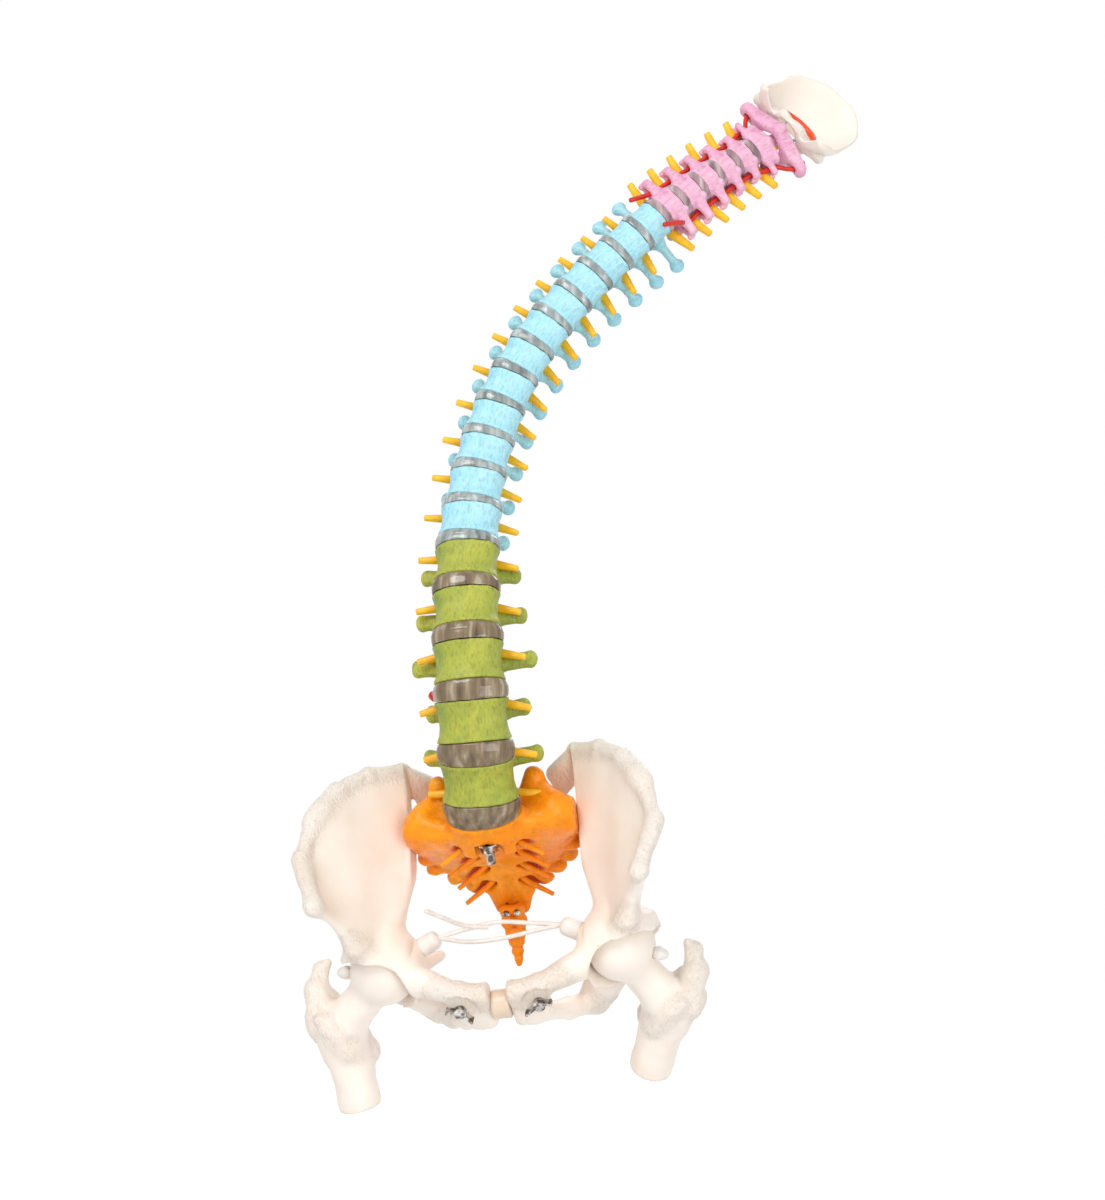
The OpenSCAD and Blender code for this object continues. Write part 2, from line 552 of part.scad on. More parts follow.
// Coccyx: tapered segments under a plate that is screwed to the front of the sacrum
module coccyx_plate(g) {
    q = sacrum_l / 106;
    hull() for (s = [-1, 1]) {
        translate([s * 6, 1, -99 * q]) sphere(4 + g, $fn = 6);
        translate([s * 5, -2, -110 * q]) sphere(4 + g, $fn = 6);
        translate([s * 4, -7, -118 * q]) sphere(3.6 + g, $fn = 6);
    }
}
screw_seat = -1.6;
module coccyx_screw_holes() {
    for (s = [-1, 1]) translate([s * 4, screw_seat, -99 * sacrum_l / 106]) rotate([90, 0, 0]) {
        translate([0, 0, -14]) cylinder(h = 20, d = 3, $fn = 8);
        cylinder(h = 20, d = 5.8, $fn = 8);
    }
}
module coccyx() {
    q = sacrum_l / 106;
    c = coccyx_l / 30;
    color(SACRUM_ORANGE) at_sacrum() difference() {
        union() {
            coccyx_plate(0);
            limb([-5, -2, -108 * q], [5, -2, -108 * q], 3, 3);
            web([[-3.4, -7, -110 * q - 8 * c, 3.6], [3.4, -7, -110 * q - 8 * c, 3.6], [0, -14, -110 * q - 15 * c, 3.6]]);
            limb([0, -14, -110 * q - 15 * c], [0, -21, -110 * q - 20 * c], 3.6, 2.2);
        }
        coccyx_screw_holes();
    }
}

// Hip bone, drawn for the left side and mirrored for the right
head_x = hip_spread / 2;
head_y = -40;
head_z = -93;
cup_open = unit([0.7, -0.42, -0.58]);
cup_front = unit([0.3, -0.88, -0.36]);
cord_way = unit([-38, 13, 13]);
socket_r = head_d / 2 + head_gap;
pubis_x = symphysis_gap / 2;
wing_spot = [pubis_x + 20, -73, -107];
module hip(s) {
    sx = sacrum_w / 2;
    t = blade_t / 2;
    crest = [[sx - 16, 58, -12, 5.5], [sx + 4, 48, 8, 5], [sx + 22, 30, 18, 5], [sx + 39, 8, 20, 5.5],
             [sx + 52, -16, 12, 6], [sx + 58, -42, -2, 5.5], [sx + 46, -75, -18, 6]];
    roof = [head_x + 8, head_y - 4, head_z + 33, 6];
    color(BONE_WHITE) at_pelvis() mirror([s < 0 ? 1 : 0, 0, 0]) difference() {
        union() {
            for (i = [0 : 5]) web([crest[i], crest[i + 1]]);
            web([[sx - 16, 58, -12, t + 1], [sx + 4, 48, 8, t], [sx - 16, 49, -35, 5], [sx + 4, 14, -46, 5]]);
            web([[sx + 4, 48, 8, t], [sx + 22, 30, 18, t], [sx + 4, 14, -46, 5]]);
            web([[sx + 22, 30, 18, t], [sx + 4, 14, -46, 5], [sx + 17, -6, -50, 5]]);
            web([[sx + 22, 30, 18, t], [sx + 39, 8, 20, t], [sx + 17, -6, -50, 5]]);
            web([[sx + 39, 8, 20, t], [sx + 17, -6, -50, 5], roof]);
            web([[sx + 39, 8, 20, t], [sx + 52, -16, 12, t], roof]);
            web([[sx + 52, -16, 12, t], [sx + 58, -42, -2, t], roof]);
            web([[sx + 58, -42, -2, t], [sx + 46, -75, -18, t], [head_x + 11, -60, -56, 5], roof]);
            limb([sx + 4, 14, -46], [head_x - 2, head_y + 14, head_z + 20], 8, 12);
            limb([head_x + 11, -60, -57], [head_x + 2, head_y - 8, head_z + 12], 6, 12);
            translate([head_x, head_y, head_z]) sphere(socket_r + socket_t, $fn = 12);
            limb([head_x - 14, head_y - 12, head_z + 3], [24, -70, -98], 11, 8);
            web([[10, -70, -98, 8], [26, -68, -99, 8], [11, -60, -123, 8], [24, -56, -124, 7]]);
            limb([head_x - 6, head_y + 18, head_z - 14], [52, 10, -117], 10, 3.5);
            limb([head_x - 6, head_y + 16, head_z - 24], [56, -6, -146], 13, 12);
            limb([56, -6, -146], [50, 2, -158], 12, 12);
            limb([50, 0, -161], [18, -56, -126], 8.5, 7.5);
        }
        translate([head_x, head_y, head_z]) {
            sphere(socket_r, $fn = 16);
            for (way = [cup_open, cup_front])
                translate(way * (socket_r * 0.06)) rotate([0, acos(way[2]), atan2(way[1], way[0])])
                    cylinder(h = 60, r1 = socket_r, r2 = 1.8 * socket_r, $fn = 16);
            bar([0, 0, 0], cord_way * 60, elastic_d + 1.6);
        }
        translate([pubis_x - 100, -100, -150]) cube([100, 200, 80]);
        translate([sacrum_w / 2 + SEAT - 60, -60, -78]) cube([60, 108, 100]);
        translate(wing_spot) rotate([90, 0, 0]) translate([0, 0, -26]) cylinder(h = 60, d = wing_screw_d + 0.5, $fn = 8);
        translate(wing_spot) rotate([90, 0, 0]) cylinder(h = 20, d = 23, $fn = 12);
    }
}
module symphysis() {
    color(BONE_WHITE) at_pelvis() translate([-pubis_x + SEAT, -66, -110]) rotate([0, 90, 0])
        cylinder(h = symphysis_gap - 2 * SEAT, d = symphysis_d);
}

// Femur, drawn for the left side: +X is outwards and +Z runs up the shaft
knob_spot = [25, 0, 4];
knob_r = 4.6;
function femur_angles(s) = s < 0 ? FEMUR_RIGHT : FEMUR_LEFT;
function femur_frame(s) = let (a = femur_angles(s)) attitude(a[0], a[1], a[2]);
function head_at(s) = in_pelvis([s * head_x, head_y, head_z]);
function knob_at(s) = head_at(s) + femur_frame(s) * [s * knob_spot[0], knob_spot[1], knob_spot[2]];
function cord_exit(s) = in_pelvis([s * (head_x + cord_way[0] * socket_r), head_y + cord_way[1] * socket_r, head_z + cord_way[2] * socket_r]);
module femur(s) {
    a = femur_angles(s);
    color(BONE_WHITE) difference() {
        translate(head_at(s)) rotate([0, a[0], 0]) rotate([0, 0, a[1]]) rotate([a[2], 0, 0]) mirror([s < 0 ? 1 : 0, 0, 0]) {
            sphere(d = head_d, $fn = 16);
            limb([6, 0, -6], [34, 5, -30], 13, 15, 8);
            web([[38, 6, -30, 15], [52, 6, -24, 9], [46, 10, -2, 9]], 6);
            limb([49, 6, -20], [44, 12, 8], 9, 6.5, 6);
            web([[51, 4, -24, 10], [43, 5, -46, 14], [38, 5, -34, 15]], 6);
            limb([38, 5, -34], [37, 5, -60], 16, shaft_d / 2 + 0.6, 8);
            limb([34, 12, -30], [26, 14, -52], 8, 7.5, 6);
            limb([44, 13, -6], [30, 16, -46], 5, 4.5);
            hull() {
                translate([37, 5, -60]) cylinder(h = 1, d = shaft_d + 1, $fn = 12);
                translate([37, 4, -femur_l]) cylinder(h = 1, d = shaft_d, $fn = 12);
            }
        }
        translate(knob_at(s)) sphere(knob_r + 0.1, $fn = 8);
        bar(knob_at(s), cord_exit(s) + (cord_exit(s) - knob_at(s)) * 0.4, elastic_d + 1.2);
    }
}

// Elastic cord from femur to femur, with its stops, plugs and loose end
function plug_end(s, r) = in_pelvis([s * (head_x + cord_way[0] * r), head_y + cord_way[1] * r, head_z + cord_way[2] * r]);
module elastic_cord() {
    r = elastic_d / 2;
    cup = socket_r + socket_t;
    tail = [in_pelvis([56 - head_x, -26, -83]), in_pelvis([35 - head_x, -38, -71]), in_pelvis([22 - head_x, -44, -63])];
    a = [plug_end(-1, cup + 12), in_pelvis([-22, -23, -78]), in_pelvis([0, -22, -76]), in_pelvis([22, -23, -79]), plug_end(1, cup + 12)];
    b = [plug_end(-1, cup + 12), in_pelvis([-22, -28, -85]), in_pelvis([0, -28, -85]), in_pelvis([22, -28, -82]), plug_end(1, cup + 12)];
    color(CORD_WHITE) {
        for (i = [0 : 3]) {
            rod(a[i], a[i + 1], r, r, 6);
            rod(b[i], b[i + 1], r, r, 6);
        }
        rod(tail[0], tail[1], r, r, 6);
        rod(tail[1], tail[2], r, r, 6);
        for (s = [-1, 1]) {
            translate(knob_at(s)) sphere(knob_r, $fn = 8);
            rod(knob_at(s), cord_exit(s), r, r, 6);
            limb(cord_exit(s), plug_end(s, cup + 4), r, r, 6);
            bar(plug_end(s, cup + 0.6), plug_end(s, cup + 16), plug_d, 12);
        }
    }
}

// Metal hardware: the stud with its nut and washer, two wing screws and two coccyx screws
module fasteners() {
    q = sacrum_l / 106;
    color(METAL) {
        at_stud() {
            translate([0, 0, -stud_free]) cylinder(h = stud_free + nut_t + washer_t + 8.9, d = stud_d);
            cylinder(h = nut_t, d = nut_flats / cos(30), $fn = 6);
            translate([0, 0, nut_t - 0.01]) cylinder(h = washer_t - SEAT + 0.01, d = washer_d, $fn = 32);
        }
        at_pelvis() for (s = [-1, 1]) translate([s * wing_spot[0], wing_spot[1] - SEAT, wing_spot[2]]) rotate([90, 0, 0]) {
            translate([0, 0, -14]) cylinder(h = 18, d = wing_screw_d);
            cylinder(h = 4.5, d = 2 * wing_screw_d);
            rotate([0, 0, s * 25 - 5]) for (t = [-1, 1]) hull() {
                translate([t * 2.5, -0.9, 0.4]) cube([1, 1.8, 3.6]);
                translate([t * 9 - 0.5, -0.9, 3]) cube([1, 1.8, 6]);
            }
        }
        at_sacrum() for (s = [-1, 1]) translate([s * 4, screw_seat - SEAT, -99 * q]) rotate([90, 0, 0]) {
            translate([0, 0, -10]) cylinder(h = 11, d = 2.4);
            cylinder(h = 1.8, d = 4.8);
        }
    }
}

// Skull plate: the floor and back of the skull round its great opening
module skull_plate() {
    w = plate_w / 2;
    plate_turn = 46;
    color(BONE_WHITE) translate(disc_spots[SKULL]) rotate([0, LEAN[SKULL], 0]) rotate([0, 0, TURN[SKULL]]) rotate([NOD[SKULL], 0, 0])
        difference() {
            union() {
                rotate([plate_turn, 0, 0]) difference() {
                    translate([0, foramen_w / 2 + 3, 1]) cylinder(h = 12, d = foramen_w + 2, $fn = 12);
                    translate([0, foramen_w / 2 + 3, -20]) cylinder(h = 60, d = foramen_w - 4, $fn = 12);
                }
                rotate([plate_turn, 0, 0]) difference() {
                    intersection() {
                        difference() {
                            translate([0, 10, 60]) sphere(60, $fn = 16);
                            translate([0, 10, 60]) sphere(60 - plate_t, $fn = 16);
                        }
                        translate([0, 26, 20]) rotate([-18, 0, 0]) cylinder(h = 120, r = 1.12 * w, center = true, $fn = 14);
                        translate([-w, -30, 0]) cube([2 * w, 150, 32]);
                    }
                    translate([0, foramen_w / 2 + 3, -20]) cylinder(h = 60, d = foramen_w - 4, $fn = 12);
                }
                pair([15, -4, 6], [16, 3, 6], 5.2, 5.2);
                limb([-8, -14, 6], [8, -14, 6], 5, 5);
                web([[-8, -14, 6, 4.5], [8, -14, 6, 4.5], [-7, -18, 9, 4], [7, -18, 9, 4]]);
                pair([14, -5, 7], [9, -14, 7], 4.4, 4.4);
                pair([15, -4, 6], [33, -1, 8], 5, 4.4);
                pair([15, 4, 6], [20, 8, 15], 4.4, 4);
            }
            translate([0, 0, bone_gap / 2 - 50]) cube([200, 200, 100], center = true);
            cylinder(h = 40, r = 12.4, $fn = 14);
        }
}

vertebra(0);  // l5
vertebra(1);  // l4
vertebra(2);  // l3
vertebra(3);  // l2
vertebra(4);  // l1
vertebra(5);  // t12
vertebra(6);  // t11
vertebra(7);  // t10
vertebra(8);  // t9
vertebra(9);  // t8
vertebra(10);  // t7
vertebra(11);  // t6
vertebra(12);  // t5
vertebra(13);  // t4
vertebra(14);  // t3
vertebra(15);  // t2
vertebra(16);  // t1
vertebra(17);  // c7
vertebra(18);  // c6
vertebra(19);  // c5
vertebra(20);  // c4
vertebra(21);  // c3
vertebra(22);  // c2
vertebra(23);  // c1
disc(0);  // disc_l5_s1
disc(1);  // disc_l4_l5
disc(2);  // disc_l3_l4
disc(3);  // disc_l2_l3
disc(4);  // disc_l1_l2
disc(5);  // disc_t12_l1
disc(6);  // disc_t11_t12
disc(7);  // disc_t10_t11
disc(8);  // disc_t9_t10
disc(9);  // disc_t8_t9
disc(10);  // disc_t7_t8
disc(11);  // disc_t6_t7
disc(12);  // disc_t5_t6
disc(13);  // disc_t4_t5
disc(14);  // disc_t3_t4
disc(15);  // disc_t2_t3
disc(16);  // disc_t1_t2
disc(17);  // disc_c7_t1
disc(18);  // disc_c6_c7
disc(19);  // disc_c5_c6
disc(20);  // disc_c4_c5
disc(21);  // disc_c3_c4
disc(22);  // disc_c2_c3
skull_plate();
sacrum();
coccyx();
hip(-1);  // hip_right
hip(1);  // hip_left
symphysis();
femur(-1);  // femur_right
femur(1);  // femur_left
spinal_cord();
vertebral_arteries();
flexible_core();
elastic_cord();
fasteners();
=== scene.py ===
# Spine anatomy model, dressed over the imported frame.
# Lengths inside the makers are in millimetres; makeMesh turns them into metres.
import json
import math

import bpy
import numpy as np
from mathutils import Matrix

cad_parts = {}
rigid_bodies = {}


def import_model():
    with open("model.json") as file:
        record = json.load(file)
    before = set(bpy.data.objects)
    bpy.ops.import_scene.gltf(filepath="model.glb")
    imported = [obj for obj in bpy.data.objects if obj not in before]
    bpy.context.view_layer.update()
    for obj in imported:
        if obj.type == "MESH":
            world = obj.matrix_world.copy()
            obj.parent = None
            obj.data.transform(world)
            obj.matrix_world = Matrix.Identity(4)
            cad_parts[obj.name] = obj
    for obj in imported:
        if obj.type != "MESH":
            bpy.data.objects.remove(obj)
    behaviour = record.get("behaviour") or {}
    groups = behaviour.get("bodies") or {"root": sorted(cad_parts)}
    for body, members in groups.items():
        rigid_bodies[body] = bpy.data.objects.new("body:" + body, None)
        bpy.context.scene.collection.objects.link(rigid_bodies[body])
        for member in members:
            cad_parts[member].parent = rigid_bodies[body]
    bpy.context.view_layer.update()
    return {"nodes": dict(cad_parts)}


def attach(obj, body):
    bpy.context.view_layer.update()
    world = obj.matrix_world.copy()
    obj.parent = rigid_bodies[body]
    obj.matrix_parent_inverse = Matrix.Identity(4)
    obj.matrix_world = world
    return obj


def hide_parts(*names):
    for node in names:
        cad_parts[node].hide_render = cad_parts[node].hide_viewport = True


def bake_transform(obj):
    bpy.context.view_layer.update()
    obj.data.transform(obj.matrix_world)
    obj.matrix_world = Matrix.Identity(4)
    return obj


for spare in list(bpy.data.objects):
    bpy.data.objects.remove(spare)
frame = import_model()
print("frame loaded:", len(frame["nodes"]), "nodes")

# ---- the look of the shot
shot = {
    "cameraAt": (0.04165, -1.1383, -0.04897),  # metres
    "pitchUp": 10.9,  # degrees
    "lens": 50.96,  # mm, with the sensor on the long side
    "sensor": 36.0,
    "floorHeight": -0.46,
    "worldLight": 0.60,
    "keyPower": 24.0,
    "fillPower": 15.0,
    "rimPower": 6.0,
}


def makeCamera():
    data = bpy.data.cameras.new("camera")
    data.lens = shot["lens"]
    data.sensor_fit = "VERTICAL"
    data.sensor_height = shot["sensor"]
    data.clip_start = 0.01
    data.clip_end = 30
    camera = bpy.data.objects.new("camera", data)
    bpy.context.scene.collection.objects.link(camera)
    camera.location = shot["cameraAt"]
    camera.rotation_euler = (math.radians(90 + shot["pitchUp"]), 0, 0)
    bpy.context.scene.camera = camera


makeCamera()
print("camera made")


# ---- the pose of the chain, the same as the solids have
def rotX(a):
    c, s = math.cos(math.radians(a)), math.sin(math.radians(a))
    return np.array([[1, 0, 0], [0, c, -s], [0, s, c]])


def rotY(a):
    c, s = math.cos(math.radians(a)), math.sin(math.radians(a))
    return np.array([[c, 0, s], [0, 1, 0], [-s, 0, c]])


def rotZ(a):
    c, s = math.cos(math.radians(a)), math.sin(math.radians(a))
    return np.array([[c, -s, 0], [s, c, 0], [0, 0, 1]])


def attitude(lean, turn, nod):
    return rotY(lean) @ rotZ(turn) @ rotX(nod)


levels = ["l5", "l4", "l3", "l2", "l1", "t12", "t11", "t10", "t9", "t8", "t7", "t6", "t5", "t4",
          "t3", "t2", "t1", "c7", "c6", "c5", "c4", "c3", "c2", "c1"]
axisLevel, atlasLevel, skullLevel = 22, 23, 24

pose = {
    "lean": [-2, -4, -4.5, -4, -1, 3.5, 8, 13, 17.5, 23.5, 29.5, 35, 39, 42, 44, 45.5, 46.5,
             47.5, 48.5, 49.5, 51, 52.5, 54, 51.5, 48],
    "nod": [27, 9, -5, -14, -19, -19, -16, -12, -9, -6, -4, -4, -3, -3, -3, -4, -6, -9, -12,
            -14, -15, -16, -16, -15, -14],
    "turn": [-8, -7, -6, -5, -4, -3, -2, -1] + [0] * 17,
    "pelvis": (-6, -9, 32),
    "sacrum": (-6, -9, 46),
    "femurRight": (-11, -9, 12),
    "femurLeft": (18, -9, 34),
    "studSlope": -26,
    "studDrop": 32,
}

spine = {
    "width": (52, 45, 43, 31, 27, 23),  # L5, L1, T12, T1, C7, C3
    "depth": (36, 32, 30, 20, 18, 16),
    "height": (28, 25, 22.5, 16.5, 13.5, 12),
    "lumbarDisc": (12, 9.5),
    "thoracicDisc": (8.5, 5.5),
    "neckDisc": 6,
    "boneGap": 2.6,
    "lumbarSpan": 86,
    "lumbarSpanLess": (4, 14, 0, 9, 16),
    "thoracicSpan": (51, 72),
    "neckSpan": (58, 44),
    "atlasSpan": 73,
    "spineReach": (26, 24, 17),
    "backShare": 0.41,
    "coreWidth": 9,
    "rodWidth": 5,
    "coreGap": 0.6,
    "seat": 0.05,
}


def ramp(k, first, last, a, b):
    return a + (b - a) * (k - first) / (last - first)


def eased(k, a, b):
    return a + (b - a) * ((k - 5) / 11) ** 0.6


def graded(k, six):
    if k < 5:
        return ramp(k, 0, 4, six[0], six[1])
    if k < 17:
        return eased(k, six[2], six[3])
    return ramp(min(k, axisLevel if six is not spine["height"] else 21), 17, 21, six[4], six[5])


def bodyW(k):
    return graded(k, spine["width"])


def bodyD(k):
    return graded(k, spine["depth"])


def bodyH(k):
    if k < axisLevel:
        return graded(k, spine["height"])
    return spine["height"][5] + (2 if k == axisLevel else 0)


def discT(k):
    if k < 5:
        return ramp(k, 0, 4, *spine["lumbarDisc"])
    if k < 17:
        return eased(k, *spine["thoracicDisc"])
    return spine["neckDisc"] if k <= axisLevel else spine["boneGap"]


def span(k):
    if k < 5:
        return spine["lumbarSpan"] - spine["lumbarSpanLess"][k]
    if k < 17:
        return ramp(k, 5, 16, *spine["thoracicSpan"])
    if k < axisLevel:
        return ramp(k, 17, 21, *spine["neckSpan"])
    return spine["neckSpan"][1] + 8 if k == axisLevel else spine["atlasSpan"]


def canalW(k):
    return 24 if k < 5 else 17 if k < 17 else 23


def canalD(k):
    return 17 if k < 5 else 15.5 if k < 17 else 14.5


def backY(k):
    return bodyD(k) * spine["backShare"]


def canalY(k):
    return backY(k) + canalD(k) / 2


def turned(k):
    return attitude(pose["lean"][k], pose["turn"][k], pose["nod"][k])


def upward(k):
    return turned(k) @ np.array([0, 0, 1.0])


sacrumTurn = attitude(*pose["sacrum"])
pelvisTurn = attitude(*pose["pelvis"])
studTurn = sacrumTurn @ rotX(pose["studSlope"])
lowDisc = -(studTurn @ np.array([0, 0, -pose["studDrop"]]))
discSpots = [lowDisc]
for k in range(skullLevel):
    gap = spine["boneGap"] if k + 1 > atlasLevel else discT(k + 1)
    discSpots.append(discSpots[k] + upward(k) * (discT(k) / 2 + bodyH(k) + gap / 2))


def bodySpot(k):
    return discSpots[k] + upward(k) * (discT(k) + bodyH(k)) / 2


def placed(k, p):
    return bodySpot(k) + turned(k) @ np.array(p, float)


def inSacrum(p):
    return lowDisc + sacrumTurn @ np.array(p, float)


def inPelvis(p):
    return lowDisc + pelvisTurn @ np.array(p, float)


def placement(turn, spot):
    m = np.eye(4)
    m[:3, :3] = turn
    m[:3, 3] = np.array(spot) * 0.001
    return Matrix(m.tolist())


def levelPlace(k):
    return placement(turned(k), bodySpot(k))


# ---- mesh code: smooth forms are carved in a grid of distances, then skinned
noiseLattice = np.random.default_rng(11).random((32, 32, 32), dtype=np.float32)


def lumpNoise(x, y, z, size):
    # smooth noise from -1 to 1, with lumps about size mm across
    out = []
    for v, s in zip((x, y, z), size if hasattr(size, "__len__") else (size, size, size)):
        out.append(v / s + 100)
    cells = [np.floor(v).astype(np.int32) for v in out]
    parts = [v - c for v, c in zip(out, cells)]
    parts = [t * t * (3 - 2 * t) for t in parts]
    total = 0
    for dx in (0, 1):
        wx = parts[0] if dx else 1 - parts[0]
        for dy in (0, 1):
            wy = parts[1] if dy else 1 - parts[1]
            for dz in (0, 1):
                wz = parts[2] if dz else 1 - parts[2]
                total = total + wx * wy * wz * noiseLattice[
                    (cells[0] + dx) % 32, (cells[1] + dy) % 32, (cells[2] + dz) % 32]
    return total * 2 - 1


def softMin(a, b, k):
    h = np.maximum(k - np.abs(a - b), 0) / k
    return np.minimum(a, b) - h * h * k * 0.25


def softMax(a, b, k):
    return -softMin(-a, -b, k)


def limbDistance(x, y, z, p, q, r1, r2):
    v = np.array(q, np.float32) - np.array(p, np.float32)
    dx, dy, dz = x - p[0], y - p[1], z - p[2]
    t = np.clip((dx * v[0] + dy * v[1] + dz * v[2]) / max(float(v @ v), 1e-6), 0, 1)
    return np.sqrt((dx - t * v[0]) ** 2 + (dy - t * v[1]) ** 2 + (dz - t * v[2]) ** 2) - (r1 + (r2 - r1) * t)


def plateDistance(x, y, z, a, b, c):
    # a rounded triangle whose thickness runs from corner to corner
    pa, pb, pc = (np.array(p[:3], float) for p in (a, b, c))
    n = np.cross(pb - pa, pc - pa)
    area = float(n @ n)
    dx, dy, dz = x - pa[0], y - pa[1], z - pa[2]
    wb = np.cross(pc - pa, n) / area
    wc = np.cross(n, pb - pa) / area
    v = dx * wb[0] + dy * wb[1] + dz * wb[2]
    w = dx * wc[0] + dy * wc[1] + dz * wc[2]
    u = 1 - v - w
    away = np.abs(dx * n[0] + dy * n[1] + dz * n[2]) / math.sqrt(area)
    face = away - (u * a[3] + v * b[3] + w * c[3])
    edges = np.minimum(np.minimum(limbDistance(x, y, z, pa, pb, a[3], b[3]),
                                  limbDistance(x, y, z, pb, pc, b[3], c[3])),
                       limbDistance(x, y, z, pc, pa, c[3], a[3]))
    return np.where((u >= 0) & (v >= 0) & (w >= 0), face, edges)


def ovalDistance(u, v, a, b):
    # distance to an ellipse with half axes a and b, good close to its edge
    k0 = np.sqrt((u / a) ** 2 + (v / b) ** 2)
    k1 = np.sqrt((u / a ** 2) ** 2 + (v / b ** 2) ** 2) + 1e-6
    return k0 * (k0 - 1) / k1


class Carving:
    def __init__(self, low, high, cell):
        self.low = np.array(low, float)
        self.cell = cell
        self.axes = [np.arange(a, b + cell, cell, dtype=np.float32) for a, b in zip(low, high)]
        self.field = np.full([len(a) for a in self.axes], 60, np.float32)

    def block(self, low, high, pad):
        cut = []
        for i in range(3):
            first = int(np.clip((low[i] - pad - self.low[i]) // self.cell, 0, len(self.axes[i]) - 1))
            last = int(np.clip((high[i] + pad - self.low[i]) // self.cell + 2, 1, len(self.axes[i])))
            cut.append(slice(first, max(last, first + 1)))
        x = self.axes[0][cut[0]][:, None, None]
        y = self.axes[1][cut[1]][None, :, None]
        z = self.axes[2][cut[2]][None, None, :]
        return tuple(cut), x, y, z

    def join(self, low, high, shape, blend, remove=False):
        cut, x, y, z = self.block(low, high, blend + 3 * self.cell)
        d = shape(x, y, z).astype(np.float32)
        old = self.field[cut]
        blend = max(blend, 0.01)
        if remove == "limit":
            self.field[cut] = softMax(old, d, blend)
        else:
            self.field[cut] = softMax(old, -d, blend) if remove else softMin(old, d, blend)

    def limb(self, p, q, r1, r2, blend=3.0, remove=False):
        r = max(r1, r2)
        low = [min(a, b) - r for a, b in zip(p, q)]
        high = [max(a, b) + r for a, b in zip(p, q)]
        self.join(low, high, lambda x, y, z: limbDistance(x, y, z, p, q, r1, r2), blend, remove)

    def pair(self, p, q, r1, r2, blend=3.0, remove=False):
        for s in (-1, 1):
            self.limb((s * p[0], p[1], p[2]), (s * q[0], q[1], q[2]), r1, r2, blend, remove)

    def path(self, points, radii, blend=3.0, remove=False):
        for i in range(len(points) - 1):
            self.limb(points[i], points[i + 1], radii[i], radii[i + 1], blend, remove)

    def plate(self, a, b, c, blend=3.0):
        r = max(a[3], b[3], c[3])
        low = [min(a[i], b[i], c[i]) - r for i in range(3)]
        high = [max(a[i], b[i], c[i]) + r for i in range(3)]
        self.join(low, high, lambda x, y, z: plateDistance(x, y, z, a, b, c), blend)

    def ball(self, p, radii, blend=3.0, remove=False):
        r = np.array(radii if hasattr(radii, "__len__") else [radii] * 3, float)

        def shape(x, y, z):
            dx, dy, dz = x - p[0], y - p[1], z - p[2]
            k0 = np.sqrt((dx / r[0]) ** 2 + (dy / r[1]) ** 2 + (dz / r[2]) ** 2)
            k1 = np.sqrt((dx / r[0] ** 2) ** 2 + (dy / r[1] ** 2) ** 2 + (dz / r[2] ** 2) ** 2) + 1e-6
            return k0 * (k0 - 1) / k1
        self.join([a - b for a, b in zip(p, r)], [a + b for a, b in zip(p, r)], shape, blend, remove)

    def everywhere(self, shape, blend=1.0, remove=False):
        high = [a[-1] for a in self.axes]
        self.join(self.low, high, shape, blend, remove)

    def roughen(self, size, depth, where=None):
        # lumps on the surface only, where the field is close to nought
        near = np.nonzero(np.abs(self.field) < 2.5 * self.cell)
        x, y, z = (self.axes[i][near[i]] for i in range(3))
        amount = depth * lumpNoise(x, y, z, size)
        if where is not None:
            amount = amount * where(x, y, z)
        self.field[near] += amount.astype(np.float32)

    def skin(self):
        d = self.field
        d[0], d[-1], d[:, 0], d[:, -1], d[:, :, 0], d[:, :, -1] = (9.0,) * 6
        inside = d < 0
        corners = [(i, j, k) for i in (0, 1) for j in (0, 1) for k in (0, 1)]
        n = [s - 1 for s in d.shape]
        count = np.zeros(n, np.int8)
        for c in corners:
            count += inside[c[0]:c[0] + n[0], c[1]:c[1] + n[1], c[2]:c[2] + n[2]]
        cells = np.argwhere((count > 0) & (count < 8))
        number = np.full(n, -1, np.int64)
        number[tuple(cells.T)] = np.arange(len(cells))
        total = np.zeros((len(cells), 3), np.float64)
        hits = np.zeros(len(cells))
        for axis in range(3):
            for c in corners:
                if c[axis]:
                    continue
                e = list(c)
                e[axis] = 1
                a = d[tuple((cells + c).T)]
                b = d[tuple((cells + e).T)]
                crossed = (a < 0) != (b < 0)
                t = np.where(crossed, a / np.where(crossed, a - b, 1), 0)
                spot = np.tile(np.array(c, float), (len(cells), 1))
                spot[:, axis] = t
                total += spot * crossed[:, None]
                hits += crossed
        points = (cells + total / hits[:, None]) * self.cell + self.low
        quads = []
        for axis in range(3):
            u, v = (axis + 1) % 3, (axis + 2) % 3
            first = [slice(1, n[i]) for i in range(3)]
            first[axis] = slice(0, n[axis])
            ahead = list(first)
            ahead[axis] = slice(1, n[axis] + 1)
            a, b = inside[tuple(first)], inside[tuple(ahead)]
            where = np.argwhere(a != b)
            if not len(where):
                continue
            base = where.copy()
            base[:, u] += 1
            base[:, v] += 1
            ring = []
            for du, dv in ((0, 0), (1, 0), (1, 1), (0, 1)):
                cell = base.copy()
                cell[:, u] -= du
                cell[:, v] -= dv
                ring.append(number[tuple(cell.T)])
            ring = np.stack(ring, 1)
            forward = a[tuple(where.T)]
            ring[forward] = ring[forward][:, ::-1]
            quads.append(ring[:, ::-1])
        return points, np.concatenate(quads)


